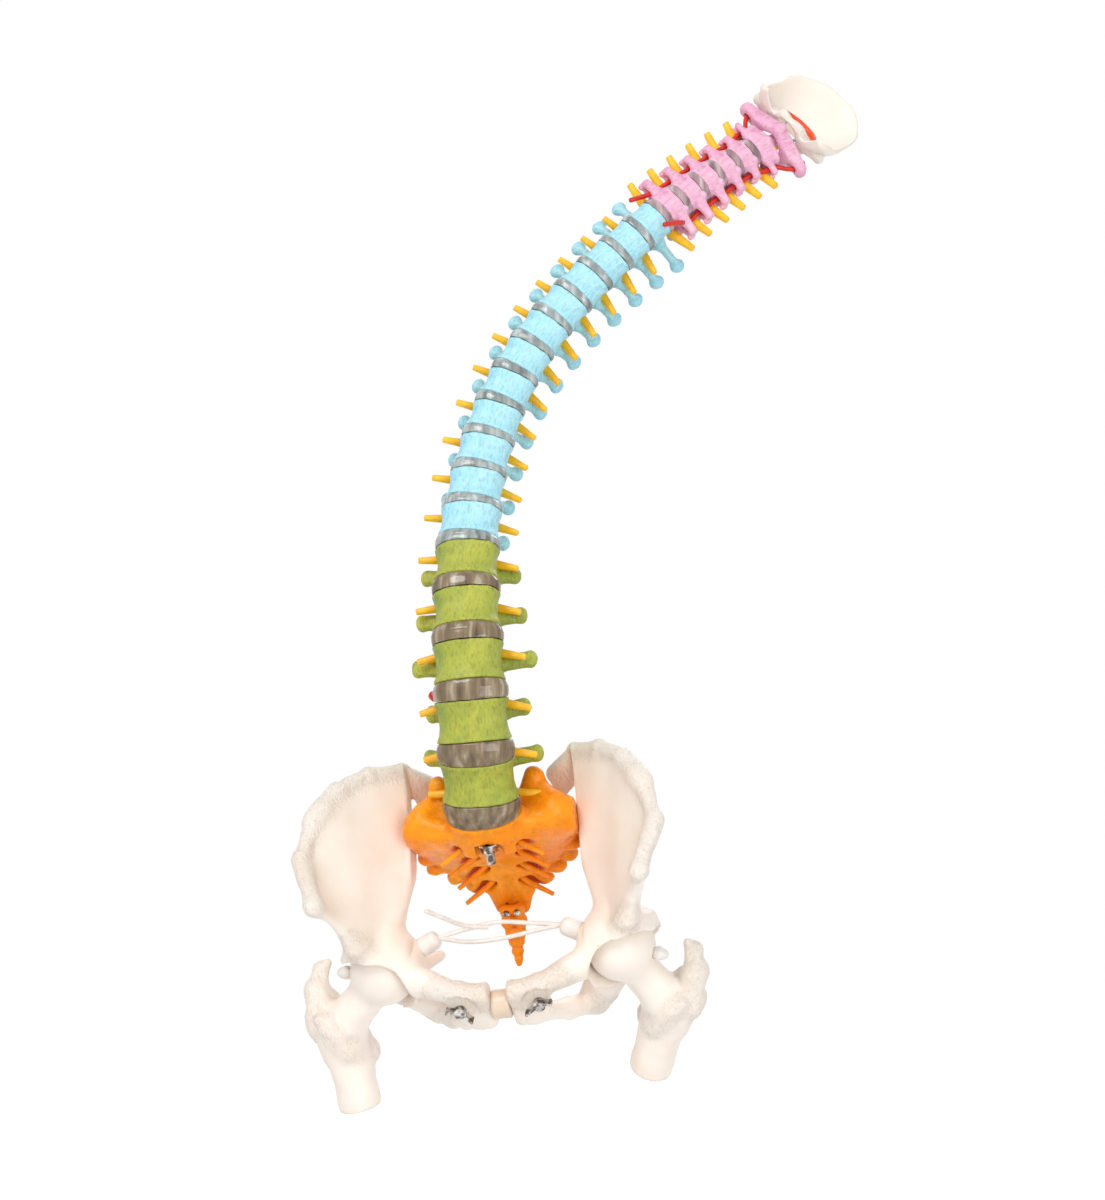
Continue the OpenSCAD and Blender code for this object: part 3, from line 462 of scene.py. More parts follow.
def eased3(points, quads, rounds=1, pull=0.5):
    # a light smoothing that keeps the skin's volume
    for step in range(rounds):
        for weight in (pull, -pull * 1.02):
            total = np.zeros_like(points)
            hits = np.zeros(len(points))
            for i in range(4):
                a, b = quads[:, i], quads[:, (i + 1) % 4]
                for axis in range(3):
                    total[:, axis] += np.bincount(a, points[b, axis], len(points))
                    total[:, axis] += np.bincount(b, points[a, axis], len(points))
                hits += np.bincount(a, minlength=len(points)) + np.bincount(b, minlength=len(points))
            points = points + weight * (total / np.maximum(hits, 1)[:, None] - points)
    return points


def calmed(points, quads, share, rounds):
    # a strong smoothing where share is 1 and none where it is 0
    count = len(points)
    ends = np.concatenate([quads[:, i] for i in range(4)])
    others = np.concatenate([quads[:, (i + 1) % 4] for i in range(4)])
    hits = np.maximum(np.bincount(ends, minlength=count) + np.bincount(others, minlength=count), 1)
    pull = (share * 0.8)[:, None]
    for step in range(rounds):
        total = np.stack([np.bincount(ends, points[others, i], count) + np.bincount(others, points[ends, i], count)
                          for i in range(3)], 1)
        points = points + pull * (total / hits[:, None] - points)
    return points


def makeMesh(name, points, faces, material, place=None, smooth=True):
    mesh = bpy.data.meshes.new(name)
    points = np.asarray(points, float) * 0.001
    mesh.from_pydata(points.tolist(), [], faces if isinstance(faces, list) else faces.tolist())
    mesh.validate()
    mesh.update()
    if smooth:
        mesh.shade_smooth()
    piece = bpy.data.objects.new(name, mesh)
    bpy.context.scene.collection.objects.link(piece)
    if place is not None:
        piece.matrix_world = place
    piece.data.materials.append(material)
    return piece


def mark(piece, name, values):
    layer = piece.data.attributes.new(name, "FLOAT", "POINT")
    layer.data.foreach_set("value", np.asarray(values, np.float32))


def loftMesh(rings, closedEnds=True):
    # rings of the same count, one after the other
    n, m = len(rings[0]), len(rings)
    points = [p for ring in rings for p in ring]
    faces = [[i * n + j, i * n + (j + 1) % n, (i + 1) * n + (j + 1) % n, (i + 1) * n + j]
             for i in range(m - 1) for j in range(n)]
    if closedEnds:
        faces += [list(range(n - 1, -1, -1)), [(m - 1) * n + j for j in range(n)]]
    return points, faces


def tubeRings(path, radii, sides=16):
    path = [np.array(p, float) for p in path]
    rings = []
    for i, p in enumerate(path):
        along = path[min(i + 1, len(path) - 1)] - path[max(i - 1, 0)]
        along = along / np.linalg.norm(along)
        side = np.cross([0, 1, 0], along)
        side = side / np.linalg.norm(side)
        other = np.cross(along, side)
        r = radii[i] if hasattr(radii, "__len__") else radii
        rings.append([p + r * (math.cos(a) * side + math.sin(a) * other)
                      for a in (2 * math.pi * (j + 0.5) / sides for j in range(sides))])
    return rings


def curved(points, steps=6):
    # a smooth curve through the points
    pts = [np.array(p, float) for p in points]
    pts = [2 * pts[0] - pts[1]] + pts + [2 * pts[-1] - pts[-2]]
    out = []
    for i in range(1, len(pts) - 2):
        a, b, c, d = pts[i - 1:i + 3]
        for s in range(steps):
            t = s / steps
            out.append(0.5 * (2 * b + (c - a) * t + (2 * a - 5 * b + 4 * c - d) * t * t
                              + (3 * b - a - 3 * c + d) * t ** 3))
    out.append(pts[-2])
    return out


def roundedTube(path, radii, sides=16, endRound=0.35):
    # a tube whose ends are rounded off over a share of their radius
    path = [np.array(p, float) for p in path]
    radii = list(radii) if hasattr(radii, "__len__") else [radii] * len(path)
    a = (path[0] - path[1]) / np.linalg.norm(path[0] - path[1])
    b = (path[-1] - path[-2]) / np.linalg.norm(path[-1] - path[-2])
    ea, eb = radii[0] * endRound, radii[-1] * endRound
    path[0], path[-1] = path[0] - a * ea, path[-1] - b * eb
    path = [path[0] + a * ea, path[0] + a * ea * 0.6] + path + [path[-1] + b * eb * 0.6, path[-1] + b * eb]
    radii = [radii[0] - ea, radii[0] - ea * 0.3] + radii + [radii[-1] - eb * 0.3, radii[-1] - eb]
    return loftMesh(tubeRings(path, radii, sides))


# ---- materials
def shaderTree(name):
    material = bpy.data.materials.new(name)
    material.use_nodes = True
    tree = material.node_tree
    return material, tree, tree.nodes["Principled BSDF"]


def addNode(tree, kind, values=None, **settings):
    node = tree.nodes.new(kind)
    for key, value in settings.items():
        setattr(node, key, value)
    for key, value in (values or {}).items():
        node.inputs[key].default_value = value
    return node


def mapped(tree, scale):
    coords = addNode(tree, "ShaderNodeTexCoord")
    mapping = addNode(tree, "ShaderNodeMapping", {"Scale": scale})
    tree.links.new(coords.outputs["Object"], mapping.inputs["Vector"])
    return mapping.outputs["Vector"]


def noiseOn(tree, vector, scale, detail=3.0, roughness=0.55):
    noise = addNode(tree, "ShaderNodeTexNoise", {"Scale": scale, "Detail": detail, "Roughness": roughness})
    tree.links.new(vector, noise.inputs["Vector"])
    return noise.outputs["Fac"]


def rampOn(tree, factor, stops):
    ramp = addNode(tree, "ShaderNodeValToRGB")
    ramp.color_ramp.elements[0].position = stops[0][0]
    ramp.color_ramp.elements[0].color = (*stops[0][1], 1)
    ramp.color_ramp.elements[1].position = stops[-1][0]
    ramp.color_ramp.elements[1].color = (*stops[-1][1], 1)
    for position, colour in stops[1:-1]:
        element = ramp.color_ramp.elements.new(position)
        element.color = (*colour, 1)
    tree.links.new(factor, ramp.inputs["Fac"])
    return ramp.outputs["Color"]


def mixColour(tree, factor, a, b, mode="MIX"):
    mix = addNode(tree, "ShaderNodeMix", data_type="RGBA", blend_type=mode)
    if isinstance(factor, (int, float)):
        mix.inputs[0].default_value = factor
    else:
        tree.links.new(factor, mix.inputs[0])
    for socket, value in ((mix.inputs[6], a), (mix.inputs[7], b)):
        if isinstance(value, tuple):
            socket.default_value = (*value, 1)
        else:
            tree.links.new(value, socket)
    return mix.outputs[2]


def mathOn(tree, kind, a, b):
    node = addNode(tree, "ShaderNodeMath", operation=kind)
    for socket, value in ((node.inputs[0], a), (node.inputs[1], b)):
        if isinstance(value, (int, float)):
            socket.default_value = value
        else:
            tree.links.new(value, socket)
    return node.outputs[0]


def bumpOn(tree, shader, heights):
    # heights is a list of (height, strength, distance in metres)
    normal = None
    for height, strength, distance in heights:
        bump = addNode(tree, "ShaderNodeBump", {"Distance": distance})
        if isinstance(strength, (int, float)):
            bump.inputs["Strength"].default_value = strength
        else:
            tree.links.new(strength, bump.inputs["Strength"])
        tree.links.new(height, bump.inputs["Height"])
        if normal is not None:
            tree.links.new(normal, bump.inputs["Normal"])
        normal = bump.outputs["Normal"]
    tree.links.new(normal, shader.inputs["Normal"])


def creviceShadeMask(tree, low, high):
    # painted shade mask: nought in the creases of the surface and one on its open parts, from pointiness
    geometry = addNode(tree, "ShaderNodeNewGeometry")
    return rampOn(tree, geometry.outputs["Pointiness"], [(low, (0, 0, 0)), (high, (1, 1, 1))])


def paintedBone(name, look):
    material, tree, shader = shaderTree(name)
    ridges = noiseOn(tree, mapped(tree, look["ridgeScale"]), 1.0, 4.0, 0.6)
    patches = noiseOn(tree, mapped(tree, (1, 1, 1)), look["patchScale"], 3.0)
    grain = noiseOn(tree, mapped(tree, (1, 1, 1)), 1400.0, 2.0)
    colour = rampOn(tree, patches, [(0.3, look["shade"]), (0.5, look["colour"]), (0.72, look["light"])])
    # painted shade: the low parts of the ridges are darkened in the colour
    furrowShade = rampOn(tree, ridges, [(0.38, (look["valleyShade"],) * 3), (0.50, (1, 1, 1))])
    colour = mixColour(tree, 1.0, colour, furrowShade, "MULTIPLY")
    # painted shade: the creases of the surface are mixed toward the darkest colour
    colour = mixColour(tree, creviceShadeMask(tree, 0.44, 0.505), look["deep"], colour)
    # painted shade in the sacrum's root grooves, from the marked attribute
    hollow = addNode(tree, "ShaderNodeAttribute", attribute_name="hollow").outputs["Fac"]
    colour = mixColour(tree, hollow, colour, look["deep"])
    tree.links.new(colour, shader.inputs["Base Color"])
    rough = rampOn(tree, ridges, [(0.3, (look["gloss"] - 0.06,) * 3), (0.7, (look["gloss"] + 0.08,) * 3)])
    tree.links.new(rough, shader.inputs["Roughness"])
    shader.inputs["Coat Weight"].default_value = look["coat"]
    shader.inputs["Coat Roughness"].default_value = 0.25
    shader.inputs["Specular IOR Level"].default_value = look["shine"]
    bumpOn(tree, shader, [(ridges, look["ridgeStrength"], 0.0014), (grain, 0.12, 0.0003)])
    return material


# in each finish the darkest colour is painted shade for creases and root grooves, and the ridge valleys are darkened
# as painted shade
finishes = {
    "lumbar_paint": {"colour": (0.37, 0.43, 0.055), "light": (0.55, 0.55, 0.065), "shade": (0.22, 0.34, 0.045),
                     "deep": (0.07, 0.11, 0.02), "ridgeScale": (640, 640, 210), "patchScale": 26.0,
                     "gloss": 0.34, "coat": 0.1, "shine": 0.35, "valleyShade": 0.76, "ridgeStrength": 1.0},
    "thoracic_paint": {"colour": (0.42, 0.80, 0.92), "light": (0.53, 0.87, 0.95), "shade": (0.36, 0.73, 0.88),
                       "deep": (0.14, 0.42, 0.58), "ridgeScale": (640, 640, 190), "patchScale": 45.0,
                       "gloss": 0.42, "coat": 0.08, "shine": 0.3, "valleyShade": 0.82, "ridgeStrength": 0.9},
    "neck_paint": {"colour": (0.86, 0.45, 0.62), "light": (0.92, 0.56, 0.70), "shade": (0.80, 0.37, 0.56),
                   "deep": (0.46, 0.12, 0.30), "ridgeScale": (520, 520, 140), "patchScale": 60.0,
                   "gloss": 0.40, "coat": 0.08, "shine": 0.3, "valleyShade": 0.82, "ridgeStrength": 0.7},
    "sacrum_paint": {"colour": (1.0, 0.30, 0.006), "light": (1.0, 0.40, 0.014), "shade": (0.97, 0.25, 0.005),
                     "deep": (0.52, 0.045, 0.002), "ridgeScale": (240, 240, 150), "patchScale": 24.0,
                     "gloss": 0.24, "coat": 0.06, "shine": 0.22, "valleyShade": 0.86, "ridgeStrength": 0.5},
}
paints = {name: paintedBone(name, look) for name, look in finishes.items()}

boneLook = {
    "colour": (0.94, 0.85, 0.755),
    "light": (0.97, 0.89, 0.81),
    "shade": (0.91, 0.79, 0.68),
    "pink": (0.94, 0.81, 0.73),
    # painted shade colour for the creases
    "deep": (0.50, 0.34, 0.20),
    "rim": (0.78, 0.075, 0.006),
}


def bonePlastic(name, look):
    # ivory plastic, rough where the mesh is marked and painted where it is marked, with painted shade in its pits and
    # creases
    material, tree, shader = shaderTree(name)
    soft = noiseOn(tree, mapped(tree, (1, 1, 1)), 22.0, 3.0)
    tint = noiseOn(tree, mapped(tree, (1, 1, 1.4)), 9.0, 2.0)
    grain = noiseOn(tree, mapped(tree, (1, 1, 1)), 900.0, 3.0)
    pits = noiseOn(tree, mapped(tree, (620, 620, 260)), 1.0, 5.0, 0.65)
    rough = addNode(tree, "ShaderNodeAttribute", attribute_name="rough").outputs["Fac"]
    painted = addNode(tree, "ShaderNodeAttribute", attribute_name="painted").outputs["Fac"]
    colour = rampOn(tree, soft, [(0.3, look["shade"]), (0.5, look["colour"]), (0.7, look["light"])])
    colour = mixColour(tree, rampOn(tree, tint, [(0.5, (0, 0, 0)), (0.75, (0.6, 0.6, 0.6))]), colour, look["pink"])
    # painted shade: the low parts of the pits are darkened where the mesh is marked rough
    pitPaintedShade = rampOn(tree, pits, [(0.34, (0.80, 0.70, 0.58)), (0.46, (1, 1, 1))])
    colour = mixColour(tree, mathOn(tree, "MULTIPLY", rough, 0.55), colour, mixColour(tree, 1.0, colour, pitPaintedShade, "MULTIPLY"))
    # painted shade: the creases of the surface are mixed toward the darkest colour
    colour = mixColour(tree, creviceShadeMask(tree, 0.40, 0.482), look["deep"], colour)
    colour = mixColour(tree, painted, colour, look["rim"])
    tree.links.new(colour, shader.inputs["Base Color"])
    gloss = rampOn(tree, soft, [(0.3, (0.36,) * 3), (0.7, (0.44,) * 3)])
    tree.links.new(gloss, shader.inputs["Roughness"])
    shader.inputs["Subsurface Weight"].default_value = 0.08
    shader.inputs["Subsurface Radius"].default_value = (0.006, 0.003, 0.002)
    shader.inputs["Coat Weight"].default_value = 0.08
    bumpOn(tree, shader, [(pits, mathOn(tree, "MULTIPLY", rough, 0.9), 0.0018), (grain, 0.08, 0.0003)])
    return material


boneMaterial = bonePlastic("bone_plastic", boneLook)
symphysisMaterial = bonePlastic("symphysis_plastic", {**boneLook, "colour": (0.82, 0.67, 0.53), "light": (0.86, 0.72, 0.59),
                                                       "shade": (0.76, 0.60, 0.46), "pink": (0.80, 0.62, 0.50)})


discTones = {  # dark, middle and light bands and a painted highlight band of streaks, then the haze over them
    "lumbar": ((0.10, 0.062, 0.032), (0.25, 0.175, 0.095), (0.36, 0.27, 0.16), (0.66, 0.57, 0.43), (0.33, 0.245, 0.145)),
    "thoracic": ((0.15, 0.15, 0.14), (0.34, 0.38, 0.37), (0.52, 0.58, 0.57), (0.84, 0.90, 0.90), (0.44, 0.50, 0.49)),
    "neck": ((0.19, 0.12, 0.13), (0.44, 0.30, 0.32), (0.64, 0.46, 0.49), (0.92, 0.82, 0.84), (0.56, 0.37, 0.41)),
}


def discPlastic(part):
    dark, middle, pale, paintedHighlight, haze = discTones[part]
    material, tree, shader = shaderTree("disc_plastic_" + part)
    streaks = noiseOn(tree, mapped(tree, (210, 210, 8)), 1.0, 2.0, 0.5)
    clouds = noiseOn(tree, mapped(tree, (1, 1, 1)), 60.0, 2.0)
    # the last band of the streak ramp is a painted highlight
    colour = rampOn(tree, streaks, [(0.30, dark), (0.45, middle), (0.57, pale), (0.70, paintedHighlight)])
    colour = mixColour(tree, mathOn(tree, "MULTIPLY", clouds, 0.35), colour, haze)
    tree.links.new(colour, shader.inputs["Base Color"])
    shader.inputs["Roughness"].default_value = 0.12
    shader.inputs["Transmission Weight"].default_value = 0.30
    shader.inputs["IOR"].default_value = 1.46
    shader.inputs["Specular IOR Level"].default_value = 0.35
    shader.inputs["Coat Weight"].default_value = 0.25
    shader.inputs["Coat Roughness"].default_value = 0.08
    bumpOn(tree, shader, [(streaks, 0.2, 0.0008)])
    return material


def softPlastic(name, colour, dark, gloss, scale=160.0, subsurface=0.1):
    material, tree, shader = shaderTree(name)
    clouds = noiseOn(tree, mapped(tree, (1, 1, 1)), scale, 3.0)
    grain = noiseOn(tree, mapped(tree, (1, 1, 1)), 1800.0, 2.0)
    tree.links.new(rampOn(tree, clouds, [(0.35, dark), (0.65, colour)]), shader.inputs["Base Color"])
    tree.links.new(rampOn(tree, grain, [(0.3, (gloss - 0.05,) * 3), (0.7, (gloss + 0.05,) * 3)]), shader.inputs["Roughness"])
    shader.inputs["Subsurface Weight"].default_value = subsurface
    shader.inputs["Subsurface Radius"].default_value = (0.004, 0.002, 0.001)
    bumpOn(tree, shader, [(clouds, 0.12, 0.0006), (grain, 0.06, 0.0002)])
    return material


def metal(name, colour, dull, gloss):
    material, tree, shader = shaderTree(name)
    wear = noiseOn(tree, mapped(tree, (1, 1, 1)), 700.0, 4.0)
    patchNoise = noiseOn(tree, mapped(tree, (1, 1, 1)), 210.0, 2.0)
    # dark brown patches and darker spots over the metal colour, at random
    darkPatchColour = mixColour(tree, rampOn(tree, patchNoise, [(0.42, (0, 0, 0)), (0.60, (1, 1, 1))]), dull, colour)
    tint = rampOn(tree, wear, [(0.3, (0.78,) * 3), (0.6, (1, 1, 1))])
    tree.links.new(mixColour(tree, 1.0, darkPatchColour, tint, "MULTIPLY"), shader.inputs["Base Color"])
    tree.links.new(rampOn(tree, wear, [(0.3, (gloss + 0.1,) * 3), (0.7, (gloss,) * 3)]), shader.inputs["Roughness"])
    shader.inputs["Metallic"].default_value = 1.0
    bumpOn(tree, shader, [(wear, 0.06, 0.0003)])
    return material


discMaterials = {part: discPlastic(part) for part in discTones}
nerveMaterial = softPlastic("nerve_plastic", (1.0, 0.60, 0.025), (0.98, 0.48, 0.012), 0.40)
arteryMaterial = softPlastic("artery_plastic", (0.72, 0.022, 0.010), (0.55, 0.012, 0.006), 0.32)
cordMaterial = softPlastic("cord_white", (0.88, 0.84, 0.80), (0.80, 0.74, 0.69), 0.42)
coreMaterial = metal("core_steel", (0.60, 0.60, 0.61), (0.36, 0.34, 0.32), 0.30)
chromeMaterial = metal("bright_metal", (0.72, 0.70, 0.68), (0.13, 0.105, 0.085), 0.14)
print("materials made")


def finishPiece(piece, slotName, *nodes):
    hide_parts(*nodes)
    return piece


# ---- the vertebrae, each carved in its own frame: front is -Y, up is +Z
vertebraLook = {
    "cellLumbar": 1.0,
    "cellThoracic": 0.95,
    "cellNeck": 0.75,
    "waist": (0.115, 0.10, 0.06),  # lumbar, thoracic, neck
    "lump": 0.35,
}


def bodyShape(k, waist, power=2.25):
    w, h = bodyW(k) / 2, bodyH(k)
    front, back = bodyD(k) / 2, backY(k)

    def shape(x, y, z):
        s = 1 - waist * (1 - np.clip(np.abs(2 * z / h), 0, 1) ** 2.2)
        b = np.where(y > 0, back, front)
        rho = (np.abs(x / w) ** power + np.abs(y / b) ** power) ** (1 / power)
        return softMax((rho - s) * min(w, front) * 0.95, np.abs(z) - h / 2, 1.4)
    return shape


def carveBody(form, k, waist):
    w, d, h = bodyW(k) / 2, bodyD(k) / 2, bodyH(k) / 2
    form.join((-w, -d, -h), (w, d, h), bodyShape(k, waist), 0.5)
    # the end plates are slightly dished inside their rim
    for s in (-1, 1):
        form.ball((0, 0, s * (h + 0.4)), (w * 0.8, d * 0.72, 1.4), 0.8, True)


def cutCore(form, k, width, z0=-60, z1=60):
    r = width / 2 + spine["coreGap"]
    form.limb((0, 0, z0), (0, 0, z1), r, r, 0.3, True)


def carveLumbar(k):
    h, cy, cw = bodyH(k), canalY(k), canalW(k) / 2
    endY = cy + canalD(k) / 2
    half = span(k) / 2
    reach = spine["spineReach"][0]
    form = Carving((-half - 3, -bodyD(k) / 2 - 3, -h * 0.62 - 7),
                   (half + 3, endY + reach + 5, h * 0.6 + 8), vertebraLook["cellLumbar"])
    carveBody(form, k, vertebraLook["waist"][0])
    form.pair((cw + 1, backY(k) - 5, h * 0.2), (cw + 3, cy + 2, h * 0.18), 5.2, 4.6, 4)
    form.pair((cw + 4, cy + 1, h * 0.1), (1, endY + 4, -h * 0.12), 4.6, 4.4, 4)
    # side processes: flat paddles with a round end
    tip = half - 5
    for s in (-1, 1):
        form.plate((s * (cw + 4), cy - 1, h * 0.24, 3.6), (s * (cw + 4), cy - 1, h * 0.04, 3.6),
                   (s * tip, cy + 2, h * 0.15 + 3.4, 2.8), 3.2)
        form.plate((s * (cw + 4), cy - 1, h * 0.04, 3.6), (s * tip, cy + 2, h * 0.15 + 3.4, 2.8),
                   (s * tip, cy + 2, h * 0.15 - 1.2, 2.8), 3.2)
        form.ball((s * (tip + 0.6), cy + 2, h * 0.15 + 1), (4.0, 3.4, 5.4), 2.5)
    low = -h * (0.4 if k == 1 else 0.5)
    form.pair((cw - 5, endY + 1.2, low), (cw + 1, cy + 6, 0), 3.6, 4.6, 3)
    form.pair((cw + 1, cy + 6, 0), (cw + 4, cy + 7, h * (0.34 if k == 0 else 0.42)), 4.6, 3.8, 3)
    form.pair((cw + 7, cy + 7.5, h * 0.2), (cw + 6, cy + 8, h * 0.3), 2.8, 2.4, 2.5)
    a, b = (0, endY + 3, h * 0.08, 3.2), (0, endY + 3, -h * 0.3, 3.0)
    c, d = (0, endY + reach - 5, -h * 0.16, 3.0), (0, endY + reach - 5, -h * 0.44, 4.2)
    form.plate(a, b, c, 3)
    form.plate(b, c, d, 3)
    form.path([(0, endY + reach - 5, -h * 0.14), (0, endY + reach - 4, -h * 0.46)], (3.4, 4.4), 2)
    form.roughen(5.5, vertebraLook["lump"])
    cutCore(form, k, spine["coreWidth"])
    return form


def carveThoracic(k):
    h, cy, cw = bodyH(k), canalY(k), canalW(k) / 2
    endY = cy + canalD(k) / 2
    half = span(k) / 2
    reach = spine["spineReach"][1]
    drop = reach * (0.95 if 7 < k < 14 else 0.6)
    form = Carving((-half - 4, -bodyD(k) / 2 - 3, -drop - 6), (half + 4, endY + reach + 4, h * 0.6 + 6),
                   vertebraLook["cellThoracic"])
    carveBody(form, k, vertebraLook["waist"][1])
    form.pair((cw - 0.5, backY(k) - 4, h * 0.22), (cw + 2, cy + 2, h * 0.2), 4.3, 3.8, 3.5)
    form.pair((cw + 3, cy + 1, h * 0.14), (0.5, endY + 3, -h * 0.14), 3.8, 3.6, 3.5)
    # side processes: a neck, then a club with a facet on its front
    for s in (-1, 1):
        form.limb((s * (cw + 2.5), cy + 1, h * 0.15), (s * (half - 7), cy + 8.5, h * 0.23), 3.7, 3.0, 3)
        form.ball((s * (half - 4.8), cy + 10, h * 0.25), (4.8, 4.6, 5.8), 2.5)
        form.ball((s * (half - 3.6), cy + 4.2, h * 0.23), (2.4, 1.6, 2.6), 1.2, True)
    form.pair((cw - 3, endY + 1.5, -h * 0.45), (cw - 1, cy + 5.5, 0), 2.8, 3.2, 2.5)
    form.pair((cw - 1, cy + 5.5, 0), (cw + 0.5, cy + 5, h * 0.45), 3.2, 2.6, 2.5)
    form.plate((0, endY + 2, 0, 3.0), (0, endY + 2, -h * 0.32, 2.8), (0, endY + reach - 3, -drop, 2.5), 2.5)
    form.limb((0, endY + 2, -h * 0.15), (0, endY + reach - 3, -drop), 3.2, 2.9, 2)
    form.roughen(4.5, vertebraLook["lump"] * 0.8)
    cutCore(form, k, spine["coreWidth"])
    return form


def arteryX(k):
    if k == atlasLevel:
        return spine["atlasSpan"] / 2 - 9
    return bodyW(k) / 2 + 1.8 + (5 if k == axisLevel else 1.4)


def arteryY(k):
    return bodyD(k) * 0.12


def cutArteries(form, k):
    r = 1.8 + 1.2 * spine["coreGap"]
    form.pair((arteryX(k), arteryY(k), -40), (arteryX(k), arteryY(k), 40), r, r, 0.4, True)


def carveNeck(k):
    h, cy, cw = bodyH(k), canalY(k), canalW(k) / 2
    endY = cy + canalD(k) / 2
    half = span(k) / 2
    ay = arteryY(k)
    reach = spine["spineReach"][2] * (1.3 if k == 17 else 0.8)
    form = Carving((-half - 3, -bodyD(k) / 2 - 3, -h * 0.62 - 6), (half + 3, endY + reach + 5, h * 0.62 + 6),
                   vertebraLook["cellNeck"])
    carveBody(form, k, vertebraLook["waist"][2])
    tip = half - 3
    # two bars on each side with the artery's way between them
    form.pair((bodyW(k) / 2 - 2, ay - 4, 0.5), (tip - 1, ay - 1.8, 0.5), 3.0, 2.4, 2.2)
    form.pair((tip - 1, ay - 1.8, 0), (tip, ay - 1.5, 2.4), 2.5, 1.9, 1.8)
    form.pair((cw - 1, ay + 6, 0), (tip, ay + 2, -0.5), 2.9, 2.4, 2.2)
    form.pair((tip, ay + 2, -0.5), (tip + 0.6, ay + 2, -2.6), 2.2, 1.8, 1.8)
    form.pair((bodyW(k) / 2 - 3.5, backY(k) - 3, 0), (cw + 2, cy + 2, 0), 3.2, 3.4, 2.5)
    form.pair((cw + 2.5, cy + 1, 0), (0.5, endY + 2, -1), 3.3, 3.0, 2.5)
    form.pair((cw + 2, cy + 1.5, -h * 0.5), (cw + 2, cy + 1.5, h * 0.5), 3.2, 3.2, 2)
    # the front bars spread into wings that cover the artery
    w, d = bodyW(k) / 2, bodyD(k)
    for s in (-1, 1):
        form.plate((s * (w - 3), ay - 5.4, -3.2, 2.2), (s * (w - 3), ay - 5.2, 3.6, 2.2), (s * (tip - 1.5), ay - 3.4, 0.8, 2.1), 2.5)
    # lips beside the discs
    form.pair((w - 2.0, 1.5, h * 0.47), (w - 3.4, -d * 0.3, h * 0.46), 2.5, 2.1, 2)
    form.pair((w - 2.4, 0.5, -h * 0.44), (w - 3.8, -d * 0.28, -h * 0.44), 2.1, 1.8, 2)
    form.pair((0, endY + 1, -1), (2.2, endY + reach, -h * 0.35), 2.8, 2.0, 2)
    form.roughen(3.6, vertebraLook["lump"] * 0.6)
    cutCore(form, k, spine["coreWidth"])
    cutArteries(form, k)
    return form


toothR = 5.0
toothTop = bodyH(axisLevel) / 2 + spine["boneGap"] + bodyH(atlasLevel) - 2


def carveAxis():
    k = axisLevel
    h, cy, cw = bodyH(k), canalY(k), canalW(k) / 2
    endY = cy + canalD(k) / 2
    ay = arteryY(k)
    half = span(k) / 2
    reach = spine["spineReach"][2] * 0.8
    form = Carving((-half - 3, -bodyD(k) / 2 - 4, -h * 0.6 - 6), (half + 3, endY + reach + 6, toothTop + 3),
                   vertebraLook["cellNeck"])
    carveBody(form, k, vertebraLook["waist"][2])
    form.limb((0, 0, 0), (0, 0, toothTop - toothR), toothR + 0.6, toothR - 0.3, 2)
    form.pair((6, 1, h * 0.1), (cw + 1.6, 2, h * 0.5 - 4.9), 4.4, 4.5, 3)
    form.pair((7, 2, h * 0.5 - 2.8), (cw + 3, 2, h * 0.5 - 3), 4.2, 4.2, 3)
    form.limb((0, -bodyD(k) * 0.42, -h * 0.3), (0, -bodyD(k) * 0.36, h * 0.3), 2.0, 1.4, 3)
    # wide shoulders that fill the front below the first vertebra
    for s in (-1, 1):
        form.plate((0, -5.5, 4.4, 2.6), (s * (cw + 3), -3, 3.2, 3.4), (s * (cw + 1), -3, -4, 3), 3)
        form.plate((0, -5.5, 4.4, 2.6), (0, -5.5, -3, 2.6), (s * (cw + 1), -3, -4, 3), 3)
    form.pair((cw, ay - 4, -h * 0.2), (half - 3, ay - 3, -h * 0.25), 2.9, 2.4, 2.4)
    form.pair((cw, ay + 5, -h * 0.1), (half - 3, ay + 3.4, -h * 0.25), 2.9, 2.4, 2.4)
    form.pair((cw + 1, 6, 0), (cw + 1.5, cy + 2, -h * 0.1), 3.3, 3.3, 2.5)
    form.pair((cw + 1.5, cy + 2, -h * 0.1), (1.5, endY + 2, -h * 0.1), 3.3, 3.4, 2.5)
    form.pair((cw + 1.5, cy + 2, -h * 0.1), (cw + 2, cy + 1.5, -h * 0.36), 3.3, 2.9, 2)
    form.pair((0, endY + 1, 0), (2.6, endY + reach, -h * 0.3), 3.2, 2.8, 2)
    form.roughen(3.6, vertebraLook["lump"] * 0.6)
    cutCore(form, k, spine["coreWidth"], -60, -h * 0.25)
    cutArteries(form, k)
    return form


